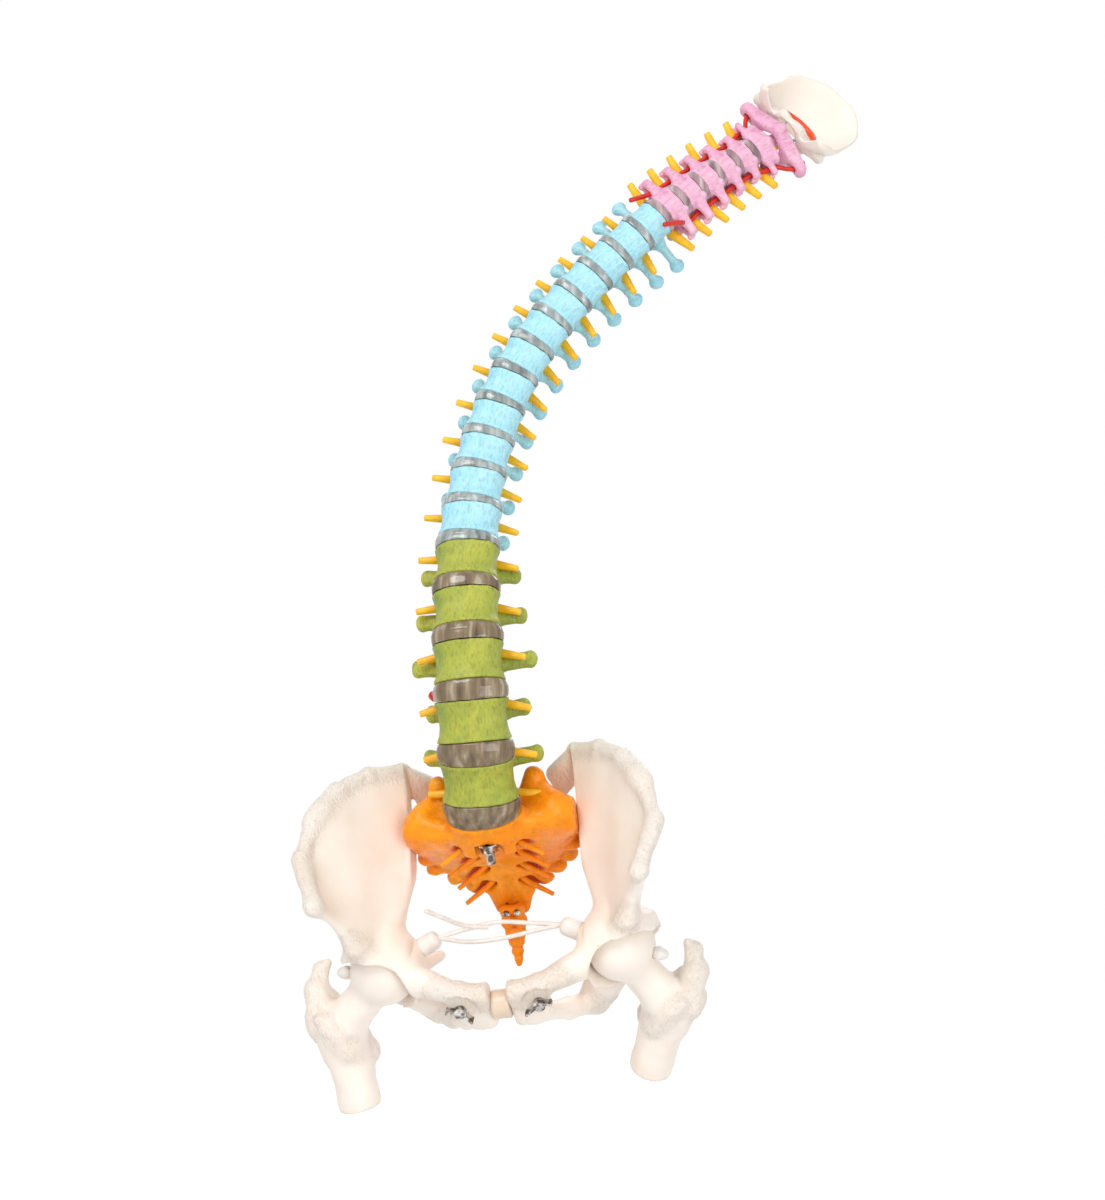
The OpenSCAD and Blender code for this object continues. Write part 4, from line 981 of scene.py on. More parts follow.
def carveAtlas():
    k = atlasLevel
    h = bodyH(k)
    massX = canalW(k) / 2 + 4.5
    ringBack = canalY(k) + canalD(k) / 2 + 6
    ringFront = -toothR - 7
    half = spine["atlasSpan"] / 2
    form = Carving((-half - 3, ringFront - 6, -h / 2 - 2), (half + 3, ringBack + 6, h / 2 + 2),
                   vertebraLook["cellNeck"])
    form.pair((massX, -1, -h * 0.2), (massX + 1, 1, h * 0.2), 6, 6.1, 3)
    for s in (-1, 1):
        for lift in (-2.4, 2.4):
            form.limb((0, ringFront, lift), (s * (massX - 2), -4.5, lift), 3.4, 4.2, 3)
        form.plate((s * (massX - 1), -4, -3.4, 3.2), (s * (massX - 1), -4, 3.4, 3.2), (s * (half - 5), -2, 0, 3.4), 3)
    form.ball((0, ringFront - 1.6, -0.4), (3.4, 2.4, 4.4), 2.5)
    form.pair((massX + 2, 4, 0), (12, ringBack - 5, 0), 3.2, 2.9, 2.5)
    form.pair((12, ringBack - 5, 0), (0, ringBack, 0), 2.9, 3.2, 2.5)
    form.pair((massX + 3, -2.5, 0), (half - 4.6, -1.5, -1), 3.2, 3.0, 2.6)
    form.pair((massX + 3, 5, 0), (half - 4.6, 4, -1), 3.0, 3.0, 2.6)
    form.ball((half - 4, 1, -1), (4.2, 4.4, 3.8), 2)
    form.ball((4 - half, 1, -1), (4.2, 4.4, 3.8), 2)
    form.roughen(3.6, vertebraLook["lump"] * 0.6)
    form.limb((0, 0, -20), (0, 0, 20), toothR + 2.4, toothR + 2.4, 0.6, True)
    cutArteries(form, k)
    form.everywhere(lambda x, y, z: np.abs(z) - h / 2 + 0 * x + 0 * y, 1.0, "limit")
    return form


def makeVertebra(k):
    if k < 5:
        form, slotName = carveLumbar(k), "lumbar_paint"
    elif k < 17:
        form, slotName = carveThoracic(k), "thoracic_paint"
    elif k < axisLevel:
        form, slotName = carveNeck(k), "neck_paint"
    else:
        form, slotName = (carveAxis() if k == axisLevel else carveAtlas()), "neck_paint"
    points, quads = form.skin()
    points = eased3(points, quads, 1, 0.4)
    piece = makeMesh("vertebra_" + levels[k], points, quads, paints[slotName], levelPlace(k))
    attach(piece, levels[k])
    return finishPiece(piece, slotName, levels[k])


for k in range(len(levels)):
    makeVertebra(k)
print("vertebrae made")


# ---- the discs between them, in the frame of the whole part
discLook = {"sides": 72, "bulge": 0.055, "seam": 0.35}


def plateRing(k, z, grow, sides):
    w, d = bodyW(k), bodyD(k)
    ring = []
    for j in range(sides):
        a = 2 * math.pi * (j + 0.5) / sides
        c, s = math.cos(a), math.sin(a)
        power = 2 / 2.25
        ring.append((grow * w / 2 * math.copysign(abs(c) ** power, c),
                     grow * d * (spine["backShare"] if s > 0 else 0.5) * math.copysign(abs(s) ** power, s), z))
    return ring


def makeDisc(k):
    sides = discLook["sides"]
    lowZ = -discT(0) / 2 if k == 0 else bodyH(k - 1) / 2
    low = [inSacrum(p) if k == 0 else placed(k - 1, p) for p in plateRing(max(k - 1, 0), lowZ, 0.965, sides)]
    high = [placed(k, p) for p in plateRing(k, -bodyH(k) / 2, 0.965, sides)]
    low, high = np.array(low), np.array(high)
    middle = discSpots[k]
    profile = [(0.03, 0.0), (0.10, 0.35), (0.25, 0.72), (0.42, 0.95), (0.55, 1.0), (0.585, 1.0 + discLook["seam"] / 3),
               (0.62, 1.0), (0.78, 0.74), (0.90, 0.36), (0.97, 0.0)]
    rings = []
    for t, bulge in profile:
        ring = low + (high - low) * t
        rings.append(ring + (ring - middle) * discLook["bulge"] * bulge)
    r = spine["coreWidth"] / 2 + 0.1
    inner = []
    for j in range(sides):
        a = 2 * math.pi * (j + 0.5) / sides
        inner.append((r * math.cos(a), r * math.sin(a)))
    for t in (0.97, 0.5, 0.03):
        base = low + (high - low) * t
        hub = base.mean(0) * 0 + middle + (high.mean(0) - low.mean(0)) * (t - 0.5)
        turn = turned(k)
        rings.append(np.array([hub + turn @ np.array([x, y, 0]) for x, y in inner]))
    rings.append(rings[0])
    points, faces = loftMesh(rings, False)
    tone = "lumbar" if k < 5 else "thoracic" if k < 17 else "neck"
    piece = makeMesh("disc_" + levels[k], points, faces, discMaterials[tone])
    for polygon in piece.data.polygons:
        polygon.use_smooth = True
    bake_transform(piece)
    return finishPiece(piece, "disc_plastic", discNode(k))


def makeProlapse():
    # the slipped part of the disc between L4 and L3 bulges out beside the root
    w = bodyW(2) / 2
    form = Carving((-w - 9, -3, -7), (-w + 9, 17, 8), 0.6)
    form.limb((-w + 3, 5, 0.3), (-w - 1, 8, 0.4), 3.2, 3.6, 1)
    form.ball((-w - 2.4, 6, 1.4), (2.6, 3.0, 2.8), 1.5)
    form.roughen(3.0, 0.5)
    points, quads = form.skin()
    piece = makeMesh("prolapse_l3_l4", points, quads, arteryMaterial, placement(turned(2), discSpots[2]))
    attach(piece, "l4")
    finishPiece(piece, "disc_plastic", "disc_l3_l4")


def discNode(k):
    return "disc_l5_s1" if k == 0 else "disc_%s_%s" % (levels[k], levels[k - 1])


for k in range(axisLevel + 1):
    makeDisc(k)
makeProlapse()
print("discs made")


# ---- sacrum and coccyx, in the frame of the sacrum
sacrumLook = {
    "wing": 58,
    "cell": 1.15,
    "heights": (-109, -95, -84, -78, -68, -60, -46, -28, -16, -9),
    "widths": (9, 17, 24, 34, 46, 51, 57, 64, 63, 48),
    "fronts": (1, 6, 8, 8, 7, 5, -1, -9, -12, -9),
    "backs": (11, 24, 29, 30, 31, 31, 33, 31, 26, 20),
    "holes": ((21, -30), (20, -50), (19, -68), (17, -84)),
    "blend": 4.0,
}


def boxDistance(x, y, z, low, high):
    d = np.maximum(np.maximum(low[0] - x, x - high[0]), np.maximum(low[1] - y, y - high[1]))
    return np.maximum(d, np.maximum(low[2] - z, z - high[2]))


def smoothTable(z, heights, values, window=9):
    fine = np.linspace(heights[0] - 30, heights[-1] + 30, 600)
    rough = np.interp(fine, heights, values)
    reach = max(1, int(window / (fine[1] - fine[0]) / 2))
    kernel = np.ones(2 * reach + 1) / (2 * reach + 1)
    padded = np.pad(rough, reach, mode="edge")
    return np.interp(z, fine, np.convolve(padded, kernel, "valid")).astype(np.float32)


def sacrumGrooveShade(points):
    # painted shade share: how deep a point lies in the grooves of the roots
    x, y, z = points.T
    away = np.full(len(points), 9.0)
    for hx, hz in sacrumLook["holes"]:
        f = float(np.interp(hz, sacrumLook["heights"], sacrumLook["fronts"]))
        p, q = (hx - 3, f + 5.0, hz + 1), (hx + 7, f + 2.4, hz - 5)
        away = np.minimum(away, limbDistance(np.abs(x), y, z, p, q, 3.6, 2.4))
    return np.clip(0.5 - away / 2.4, 0, 1)


def makeSacrum():
    look = sacrumLook
    wing = look["wing"]
    form = Carving((-wing - 2, -26, -122), (wing + 2, 48, 12), look["cell"])
    z = form.axes[2]
    w = smoothTable(z, look["heights"], look["widths"])
    front = smoothTable(z, look["heights"], look["fronts"])
    back = smoothTable(z, look["heights"], look["backs"])

    def slab(x, y, zz):
        at = np.searchsorted(z, zz[0, 0, :] - 1e-4)
        ww, f, b = w[at][None, None, :], front[at][None, None, :], back[at][None, None, :]
        half = (b - f) / 2
        # the front is hollow across, so the middle of the slab is set back
        mid = (b + f) / 2 + 2.2 * (1 - np.clip(np.abs(x) / ww, 0, 1) ** 2)
        u, v = np.abs(x) / ww, np.abs(y - mid) / half
        rho = (u ** 2.6 + v ** 2.6) ** (1 / 2.6)
        grade = np.sqrt((u / ww) ** 2 + (v / half) ** 2) / np.maximum(rho, 1e-3)
        side = (rho - 1) / np.maximum(grade, 1e-3)
        return softMax(side, softMax(zz + 9.5, -109 - zz, 2), 5)
    form.everywhere(slab, 0.5)

    def promontory(x, y, zz):
        s = np.interp(zz, (-34, -14, -6), (0.86, 0.95, 0.99)).astype(np.float32)
        b = np.where(y > 0, backY(0), bodyD(0) / 2)
        rho = ((np.abs(x) / (bodyW(0) / 2)) ** 2.25 + (np.abs(y) / b) ** 2.25) ** (1 / 2.25)
        return softMax((rho - s) * 18, softMax(zz + discT(0) / 2, -34 - zz, 1.5), 1.4)
    form.join((-28, -20, -36), (28, 18, -4), promontory, look["blend"])
    # ears beside the lowest disc, and the ridges down the back
    form.pair((29, 26, -16), (33, 29, -4), 8, 6.6, 6)
    form.pair((33, 24, -13), (46, 8, -13), 7.5, 8, 8)
    # the segments below the joint with the hips end in knobs
    for hx, hy, hz in ((52, 14, -54), (47, 16, -66), (36, 17, -77), (25, 17, -87)):
        form.ball((hx, hy, hz), (6.5, 7, 4.6), 3)
        form.ball((-hx, hy, hz), (6.5, 7, 4.6), 3)
    form.pair((22, 31, -36), (18, 29, -84), 4, 3, 3)
    form.limb((0, 33, -22), (0, 38, -46), 4, 3.6, 3)
    form.limb((0, 38, -46), (0, 34, -76), 3.6, 3, 3)
    form.roughen(9, 0.8)
    form.roughen(5.5, 1.3, lambda x, y, z: np.clip((np.abs(x) - np.interp(z, (-109, -96, -80, -62, -45),
                 (4, 12, 22, 42, 52))) / 6, 0, 1) * np.clip((-42 - z) / 10, 0, 1))
    for s in (-1, 1):
        for i, (hx, hz) in enumerate(look["holes"]):
            f = float(np.interp(hz, look["heights"], look["fronts"]))
            form.limb((s * 3, 20, hz + 6), (s * (hx * 1.12 + 1), f - 6, hz - 4), 2.6, 3.4, 1.2, True)
            form.limb((s * (hx - 2), f + 2.2, hz + 0.5), (s * (hx + 10 - i), f - 0.4, hz - 7), 5.0, 3.0, 1.4, True)
    form.limb((0, 20, 12), (0, 20, -46), 8.4, 5, 1, True)
    form.limb((0, 20, -46), (0, 20, -80), 5, 3.4, 1, True)
    # flat faces toward the hip bones
    form.everywhere(lambda x, y, z: np.abs(x) - wing + 0 * y + 0 * z, 0.8, "limit")
    # round recess for the nut, and the core's way down to it
    tilt = rotX(pose["studSlope"])

    def recess(x, y, zz):
        u = tilt.T
        ly = u[1, 0] * x + u[1, 1] * y + u[1, 2] * zz
        lz = u[2, 0] * x + u[2, 1] * y + u[2, 2] * zz
        r = np.sqrt(x * x + ly * ly)
        pocket = np.maximum(r - 9.5, np.abs(lz + pose["studDrop"] + 12) - 18.2)
        bore = np.maximum(r - 5.1, np.abs(lz + pose["studDrop"] - 26) - 26)
        return np.minimum(pocket, bore)
    form.everywhere(recess, 0.8, True)
    # slot for the coccyx plate
    for s in (-1, 1):
        form.limb((s * 5, 1, -99), (s * 4.5, -2, -110), 4.1, 4.1, 0.5, True)
    form.limb((-5, 1, -99), (5, 1, -99), 4.1, 4.1, 0.5, True)
    form.limb((-5, -2, -110), (5, -2, -110), 4.1, 4.1, 0.5, True)
    points, quads = form.skin()
    points = eased3(points, quads, 1, 0.4)
    piece = makeMesh("sacrum_dressed", points, quads, paints["sacrum_paint"], placement(sacrumTurn, lowDisc))
    # painted shade in the root grooves
    mark(piece, "hollow", sacrumGrooveShade(points))
    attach(piece, "pelvis")
    finishPiece(piece, "sacrum_paint", "sacrum")


def makeCoccyx():
    form = Carving((-14, -27, -138), (14, 10, -90), 0.7)
    for a, b in (((5.5, 1, -99), (4.6, -2, -108)), ((4.6, -2, -108), (3.4, -7, -117))):
        form.pair(a, b, 3.2, 3.2, 3)
    form.limb((-5, 1, -99), (5, 1, -99), 3.2, 3.2, 3)
    form.limb((-5.5, -2, -108), (5.5, -2, -108), 3.2, 3.2, 3)
    # four segments that get smaller, with a waist between them
    for centre, size in (((0, -6.4, -115), (7.2, 4.4, 4.8)), ((0, -10.4, -120), (5.8, 4.0, 4.2)),
                         ((0, -14.4, -124.4), (4.4, 3.4, 3.8)), ((0, -18, -128), (3.2, 2.9, 3.2)),
                         ((0, -20.6, -130), (2.2, 2.2, 2.4))):
        form.ball(centre, size, 1.6)
    form.roughen(3.2, 0.35)
    form.pair((4, -20, -99), (4, 20, -99), 1.6, 1.6, 0.3, True)
    points, quads = form.skin()
    piece = makeMesh("coccyx_dressed", points, quads, paints["sacrum_paint"], placement(sacrumTurn, lowDisc))
    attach(piece, "pelvis")
    finishPiece(piece, "sacrum_paint", "coccyx")


makeSacrum()
makeCoccyx()
print("sacrum and coccyx made")


# ---- hip bones, drawn for the left side and mirrored for the right
hipLook = {
    "cell": 1.35,
    "head": (80, -40, -93),
    "headWidth": 45,
    "headGap": 1,
    "socketWall": 6.5,
    "blade": 2.4,
    "cupOpen": (0.7, -0.42, -0.58),
    "cordWay": (-38, 13, 13),
    "cupFront": (0.3, -0.88, -0.36),
    "wingSpot": (26, -73, -107),
    "crest": ((42, 58, -12, 5.5), (62, 48, 8, 5), (80, 30, 18, 5), (97, 8, 20, 5.5), (110, -16, 12, 6),
              (116, -42, -2, 5.5), (104, -75, -18, 6)),
    "calmRounds": 160,
}
headSpot = np.array(hipLook["head"], float)
socketR = hipLook["headWidth"] / 2 + hipLook["headGap"]
cupOpen = np.array(hipLook["cupOpen"]) / np.linalg.norm(hipLook["cupOpen"])
cordWay = np.array(hipLook["cordWay"]) / np.linalg.norm(hipLook["cordWay"])


def carveHip():
    look = hipLook
    t = look["blade"]
    form = Carving((-1, -86, -182), (126, 70, 32), look["cell"])
    crest = look["crest"]
    for a, b in zip(crest[:-1], crest[1:]):
        form.limb(a[:3], b[:3], a[3] * 0.92, b[3] * 0.92, 4)
    # the crest is thickest behind the widest point
    form.ball((106, -9, 15), (9, 13, 6.4), 6)
    roof = (88, -44, -60, 6)
    plates = [
        ((42, 58, -12, t + 1.5), (62, 48, 8, t + 0.6), (42, 49, -35, 5)),
        ((62, 48, 8, t + 0.6), (42, 49, -35, 5), (62, 14, -46, 5)),
        ((62, 48, 8, t), (80, 30, 18, t), (62, 14, -46, 5)),
        ((80, 30, 18, t), (62, 14, -46, 5), (75, -6, -50, 5)),
        ((80, 30, 18, t), (97, 8, 20, t), (75, -6, -50, 5)),
        ((97, 8, 20, t), (75, -6, -50, 5), roof),
        ((97, 8, 20, t), (110, -16, 12, t), roof),
        ((110, -16, 12, t), (116, -42, -2, t), roof),
        ((116, -42, -2, t), (104, -75, -18, t), (91, -60, -56, 5)),
        ((116, -42, -2, t), (91, -60, -56, 5), roof),
    ]
    for plate in plates:
        form.plate(*plate, 6)
    form.limb((62, 14, -46), (78, -26, -73), 8, 12, 8)
    form.limb((91, -60, -57), (82, -48, -81), 5.5, 11, 7)
    form.ball((91, -61, -58), (5.5, 5, 7), 3)
    form.limb((104, -75, -18), (99, -72, -28), 5.5, 3.5, 4)
    form.ball(tuple(headSpot), socketR + look["socketWall"] - 0.6, 6)
    form.limb((66, -52, -90), (24, -70, -98), 10.5, 7.6, 7)
    form.plate((10, -70, -98, 7.4), (26, -68, -99, 7.6), (11, -60, -123, 7.0), 4)
    form.plate((26, -68, -99, 7.6), (11, -60, -123, 7.0), (24, -56, -124, 6.8), 4)
    form.limb((74, -22, -107), (53, 9, -117), 9.5, 3.2, 6)
    form.limb((74, -24, -117), (56, -6, -146), 12, 11, 6)
    form.limb((56, -6, -146), (50, 2, -158), 11, 11.5, 6)
    form.path([(50, 0, -160), (36, -24, -147), (18, -56, -126)], (8.5, 6.4, 7.2), 5)
    # rim round the socket
    side = np.cross(cupOpen, (0, 0, 1.0))
    side = side / np.linalg.norm(side)
    other = np.cross(cupOpen, side)
    ring = [headSpot + cupOpen * 2 + (socketR + 3.4) * (math.cos(a) * side + math.sin(a) * other)
            for a in np.linspace(0, 2 * math.pi, 25)]
    for p, q in zip(ring[:-1], ring[1:]):
        form.limb(tuple(p), tuple(q), 3.0, 3.0, 4)
    form.roughen(16, 1.1)
    form.roughen(6, 0.55, lambda x, y, z: roughShare(x, y, z))
    # the socket's hollow and its open side
    form.ball(tuple(headSpot), socketR, 0.6, True)

    def opening(x, y, z, way):
        dx, dy, dz = x - headSpot[0], y - headSpot[1], z - headSpot[2]
        a = dx * way[0] + dy * way[1] + dz * way[2] - 1.4
        r = np.sqrt(np.maximum(dx ** 2 + dy ** 2 + dz ** 2 - (a + 1.4) ** 2, 0))
        return np.maximum(-a, (r - socketR - 0.3 * a) * 0.95)
    form.everywhere(lambda x, y, z: opening(x, y, z, cupOpen), 1.2, True)
    front = np.array(look["cupFront"]) / np.linalg.norm(look["cupFront"])
    form.everywhere(lambda x, y, z: opening(x, y, z, front), 2.0, True)
    way = headSpot + cordWay * 60
    form.limb(tuple(headSpot), tuple(way), 2.3, 2.3, 0.5, True)
    # flat faces: at the pubis, beside the sacrum and under the wing screw
    form.everywhere(lambda x, y, z: boxDistance(x, y, z, (-100, -100, -150), (6, 100, -70)), 0.8, True)
    form.everywhere(lambda x, y, z: boxDistance(x, y, z, (-100, -60, -78), (58.05, 48, 22)), 0.8, True)

    wx, wy, wz = look["wingSpot"]

    def spot(x, y, z):
        r = np.sqrt((x - wx) ** 2 + (z - wz) ** 2)
        return np.maximum(r - 11.5, y - wy)
    form.everywhere(spot, 1.2, True)
    form.limb((wx, wy - 40, wz), (wx, wy + 36, wz), 2.2, 2.2, 0.3, True)
    return form


def roughShare(x, y, z):
    # where the bone is rough: the crest, the back of the blade, the pubis and the seat bone
    share = np.zeros(np.broadcast(x, y, z).shape, np.float32)
    crest = hipLook["crest"]
    for a, b in zip(crest[:-1], crest[1:]):
        d = limbDistance(x, y, z, a[:3], b[:3], 7, 7)
        share = np.maximum(share, np.clip(1 - d / 6, 0, 1))
    for p, q, r in (((10, -70, -98), (38, -64, -98), 12), ((50, 2, -158), (56, -6, -144), 14),
                    ((42, 58, -12), (46, 46, -38), 16), ((91, -60, -57), (84, -50, -74), 8)):
        share = np.maximum(share, np.clip(1.2 - limbDistance(x, y, z, p, q, r, r) / 5, 0, 1))
    return share


def bladeShare(points):
    # the smooth middle of the iliac blade, away from the crest, the cup and the flat side face
    x, y, z = points.T
    share = np.clip((z + 62) / 10, 0, 1) * np.clip((np.abs(x - 58.05) - 3) / 6, 0, 1)
    crest = hipLook["crest"]
    for a, b in zip(crest[:-1], crest[1:]):
        share = np.minimum(share, np.clip((limbDistance(x, y, z, a[:3], b[:3], a[3], b[3]) - 0.5) / 9, 0, 1))
    return share


def mirrored(points, quads):
    return points * np.array([-1, 1, 1.0]), quads[:, ::-1]


def makeHips():
    form = carveHip()
    points, quads = form.skin()
    points = calmed(points, quads, bladeShare(points), hipLook["calmRounds"])
    points = eased3(points, quads, 2, 0.45)
    share = roughShare(points[:, 0], points[:, 1], points[:, 2])
    for side, name in ((1, "hip_left"), (-1, "hip_right")):
        p, q = (points, quads) if side > 0 else mirrored(points, quads)
        piece = makeMesh(name + "_dressed", p, q, boneMaterial, placement(pelvisTurn, lowDisc))
        mark(piece, "rough", share)
        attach(piece, "pelvis")
        finishPiece(piece, "bone_plastic", name)


makeHips()
print("hip bones made")


# ---- femurs: +X is outwards and +Z runs up the shaft
femurLook = {"cell": 1.35, "length": 88, "shaft": 28, "knob": (25, 0, 4), "knobR": 4.6}


def femurTurn(side):
    return attitude(*(pose["femurLeft"] if side > 0 else pose["femurRight"]))


def headAt(side):
    return inPelvis((side * headSpot[0], headSpot[1], headSpot[2]))


def knobAt(side):
    x, y, z = femurLook["knob"]
    return headAt(side) + femurTurn(side) @ np.array([side * x, y, z], float)


def cordExit(side):
    return inPelvis(headSpot * (side, 1, 1) + cordWay * (side, 1, 1) * socketR)


def carveFemur():
    form = Carving((-26, -27, -94), (66, 34, 27), femurLook["cell"])
    r = hipLook["headWidth"] / 2
    form.ball((0, 0, 0), r, 0.5)
    form.limb((8, 0, -7), (34, 5, -30), 12.2, 14.4, 5)
    # great trochanter: a thick wall outside a deep hollow
    form.limb((51, 4, -26), (50, 8, -6), 8.6, 7.6, 5)
    form.limb((50, 8, -6), (45, 13, 6), 7.4, 5.6, 4)
    form.limb((45, 13, 6), (40, 13, 10), 5.6, 3.2, 3)
    form.limb((44, 2, -34), (52, 3, -29), 13, 8.5, 6)
    form.plate((39, 6, -30, 13), (51, 6, -24, 8.5), (43, 5, -48, 12), 5)
    form.limb((38, 5, -34), (37, 5, -62), 15.6, 14.4, 5)
    form.limb((32, 12, -32), (26, 14, -52), 7, 7.2, 4)
    form.ball((24.5, 14.5, -54), (6.6, 6.2, 8), 3)
    form.limb((44, 13, -6), (30, 16, -46), 4.2, 4.2, 4)
    form.limb((48, -7, -22), (33, -7, -48), 3.0, 2.6, 5)
    form.path([(37, 5, -62), (37, 4.4, -78), (37, 4, -femurLook["length"] - 4)], (14.4, 14.0, 14.0), 2)
    form.roughen(12, 0.9, lambda x, y, z: np.clip((np.sqrt(x * x + y * y + z * z) - r - 2) / 6, 0, 1))
    form.roughen(5, 0.7, femurRough)
    form.ball((34, 17, -2), (9, 8, 9), 4, True)
    # the cut end is square with a rounded edge
    form.everywhere(lambda x, y, z: -femurLook["length"] - z + 0 * x + 0 * y, 3.0, "limit")
    x, y, z = femurLook["knob"]
    form.ball((x, y, z), femurLook["knobR"] + 0.2, 0.8, True)
    return form


def femurRough(x, y, z):
    share = np.zeros(np.broadcast(x, y, z).shape, np.float32)
    for p, q, r in (((54, 5, -30), (50, 12, 4), 9), ((46, 14, -4), (30, 16, -48), 7),
                    ((26, 13, -50), (26, 13, -50), 9), ((50, -8, -20), (30, -8, -48), 7)):
        share = np.maximum(share, np.clip(1.2 - limbDistance(x, y, z, p, q, r, r) / 5, 0, 1))
    return share


def makeFemurs():
    form = carveFemur()
    points, quads = form.skin()
    points = eased3(points, quads, 2, 0.45)
    share = femurRough(points[:, 0], points[:, 1], points[:, 2])
    for side, name in ((1, "femur_left"), (-1, "femur_right")):
        p, q = (points, quads) if side > 0 else mirrored(points, quads)
        piece = makeMesh(name + "_dressed", p, q, boneMaterial, placement(femurTurn(side), headAt(side)))
        mark(piece, "rough", share)
        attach(piece, name)
        finishPiece(piece, "bone_plastic", name)


makeFemurs()
print("femurs made")


# ---- symphysis: the short soft cylinder between the pubic bones
symphysisLook = {"gap": 12, "width": 19, "centre": (0, -66, -110), "sides": 56}


def makeSymphysis():
    look = symphysisLook
    half, r = look["gap"] / 2 - 0.05, look["width"] / 2
    rings = []
    for x, grow in ((-half, 0.93), (-half * 0.93, 0.985), (-half * 0.6, 1.0), (0, 0.985), (half * 0.6, 1.0),
                    (half * 0.93, 0.985), (half, 0.93)):
        rings.append([(x, look["centre"][1] + r * grow * math.cos(a), look["centre"][2] + r * grow * math.sin(a))
                      for a in (2 * math.pi * j / look["sides"] for j in range(look["sides"]))])
    points, faces = loftMesh(rings)
    piece = makeMesh("symphysis_dressed", points, faces, symphysisMaterial, placement(pelvisTurn, lowDisc))
    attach(piece, "pelvis")
    finishPiece(piece, "symphysis_plastic", "symphysis")


makeSymphysis()


# ---- skull plate: floor and back of the skull round its great opening
skullLook = {"cell": 1.1, "radius": 60, "thick": 5, "half": 37, "top": 32, "hole": 15.0, "turn": 46,
             "holeY": 20.0, "dome": 13}


def turnedBack(y, z):
    # the plate stands up behind the opening, so its own axes lean forward
    c, s = math.cos(math.radians(skullLook["turn"])), math.sin(math.radians(skullLook["turn"]))
    return y * c + z * s, -y * s + z * c


def carveSkull():
    look = skullLook
    form = Carving((-look["half"] - 3, -40, -2), (look["half"] + 3, 40, 76), look["cell"])
    c, s = math.cos(math.radians(18)), math.sin(math.radians(18))

    def shell(x, y, z):
        y, z = turnedBack(y, z)
        d = np.sqrt(x * x + (y - 10) ** 2 + (z - 60) ** 2)
        wall = np.maximum(d - look["radius"], look["radius"] - look["thick"] - d)
        # trimmed by a leaning cylinder, flat sides and a flat top
        ly = (y - 26) * c - (z - 20) * s
        trim = softMax(np.sqrt(x * x + ly * ly) - 1.3 * look["half"], np.abs(x) - look["half"], 6)
        trim = softMax(trim, z - look["top"] - look["dome"] * (1 - np.clip(np.abs(x) / look["half"], 0, 1) ** 2), 6)
        trim = softMax(trim, -30 - y, 3)
        # a collar stands up round the great opening
        away = np.sqrt(x * x + (y - look["holeY"]) ** 2) - look["hole"]
        rise = 4 + 9 * np.clip((y - 8) / 14, 0, 1)
        collar = softMax(np.abs(away - 1.5) - 1.5, np.abs(z - rise / 2) - rise / 2, 1.2)
        return softMax(softMin(softMax(wall, trim, 2.0), collar, 3.5), -away, 1.2)
    form.everywhere(shell, 0.5)
    form.pair((15, -4, 6), (16, 3, 6), 5.0, 5.0, 3)
    form.limb((-8, -12, 5), (8, -12, 5), 4.0, 4.0, 3)
    form.pair((14, -5, 5.5), (9, -12, 5), 4.2, 4.0, 3)
    form.pair((15, -4, 6), (33, -1, 8), 4.8, 4.0, 4)
    form.pair((15, 4, 6), (20, 8, 15), 4.2, 3.8, 3)
    form.roughen(14, 0.5)
    form.roughen(4.5, 0.9, skullRough)
    form.everywhere(lambda x, y, z: np.sqrt(x * x + y * y) - 12.4 + 0 * z, 1.0, True)
    form.everywhere(lambda x, y, z: spine["boneGap"] / 2 - z + 0 * x + 0 * y, 1.0, "limit")
    return form


def skullRough(x, y, z):
    d = limbDistance(x, y, z, (0, -12, 8), (0, -19, 12), 13, 11)
    e = np.minimum(limbDistance(x, y, z, (15, -3, 7), (33, -1, 8), 7, 6),
                   limbDistance(x, y, z, (-15, -3, 7), (-33, -1, 8), 7, 6))
    return np.clip(1 - np.minimum(d, e) / 5, 0, 1)


def makeSkull():
    form = carveSkull()
    points, quads = form.skin()
    points = eased3(points, quads, 1, 0.4)
    piece = makeMesh("skull_plate_dressed", points, quads, boneMaterial, placement(turned(skullLevel), discSpots[skullLevel]))
    x, y, z = points.T
    mark(piece, "rough", skullRough(x, y, z))
    # the back rim of the opening is painted
    ly, lz = turnedBack(y, z)
    away = np.hypot(x, ly - skullLook["holeY"]) - skullLook["hole"]
    rim = np.clip((3.6 - away) / 0.8, 0, 1) * np.clip((lz - 7.5) / 1.5, 0, 1)
    mark(piece, "painted", rim)
    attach(piece, "head")
    finishPiece(piece, "bone_plastic", "skull_plate")


makeSkull()
print("skull plate made")


# ---- steel core: one stretch for each joint, and the hanging ring
coreLook = {"sides": 20, "ringInner": 14, "wire": 2.6, "foot": 16.8}


def blendAcross(piece):
    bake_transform(piece)


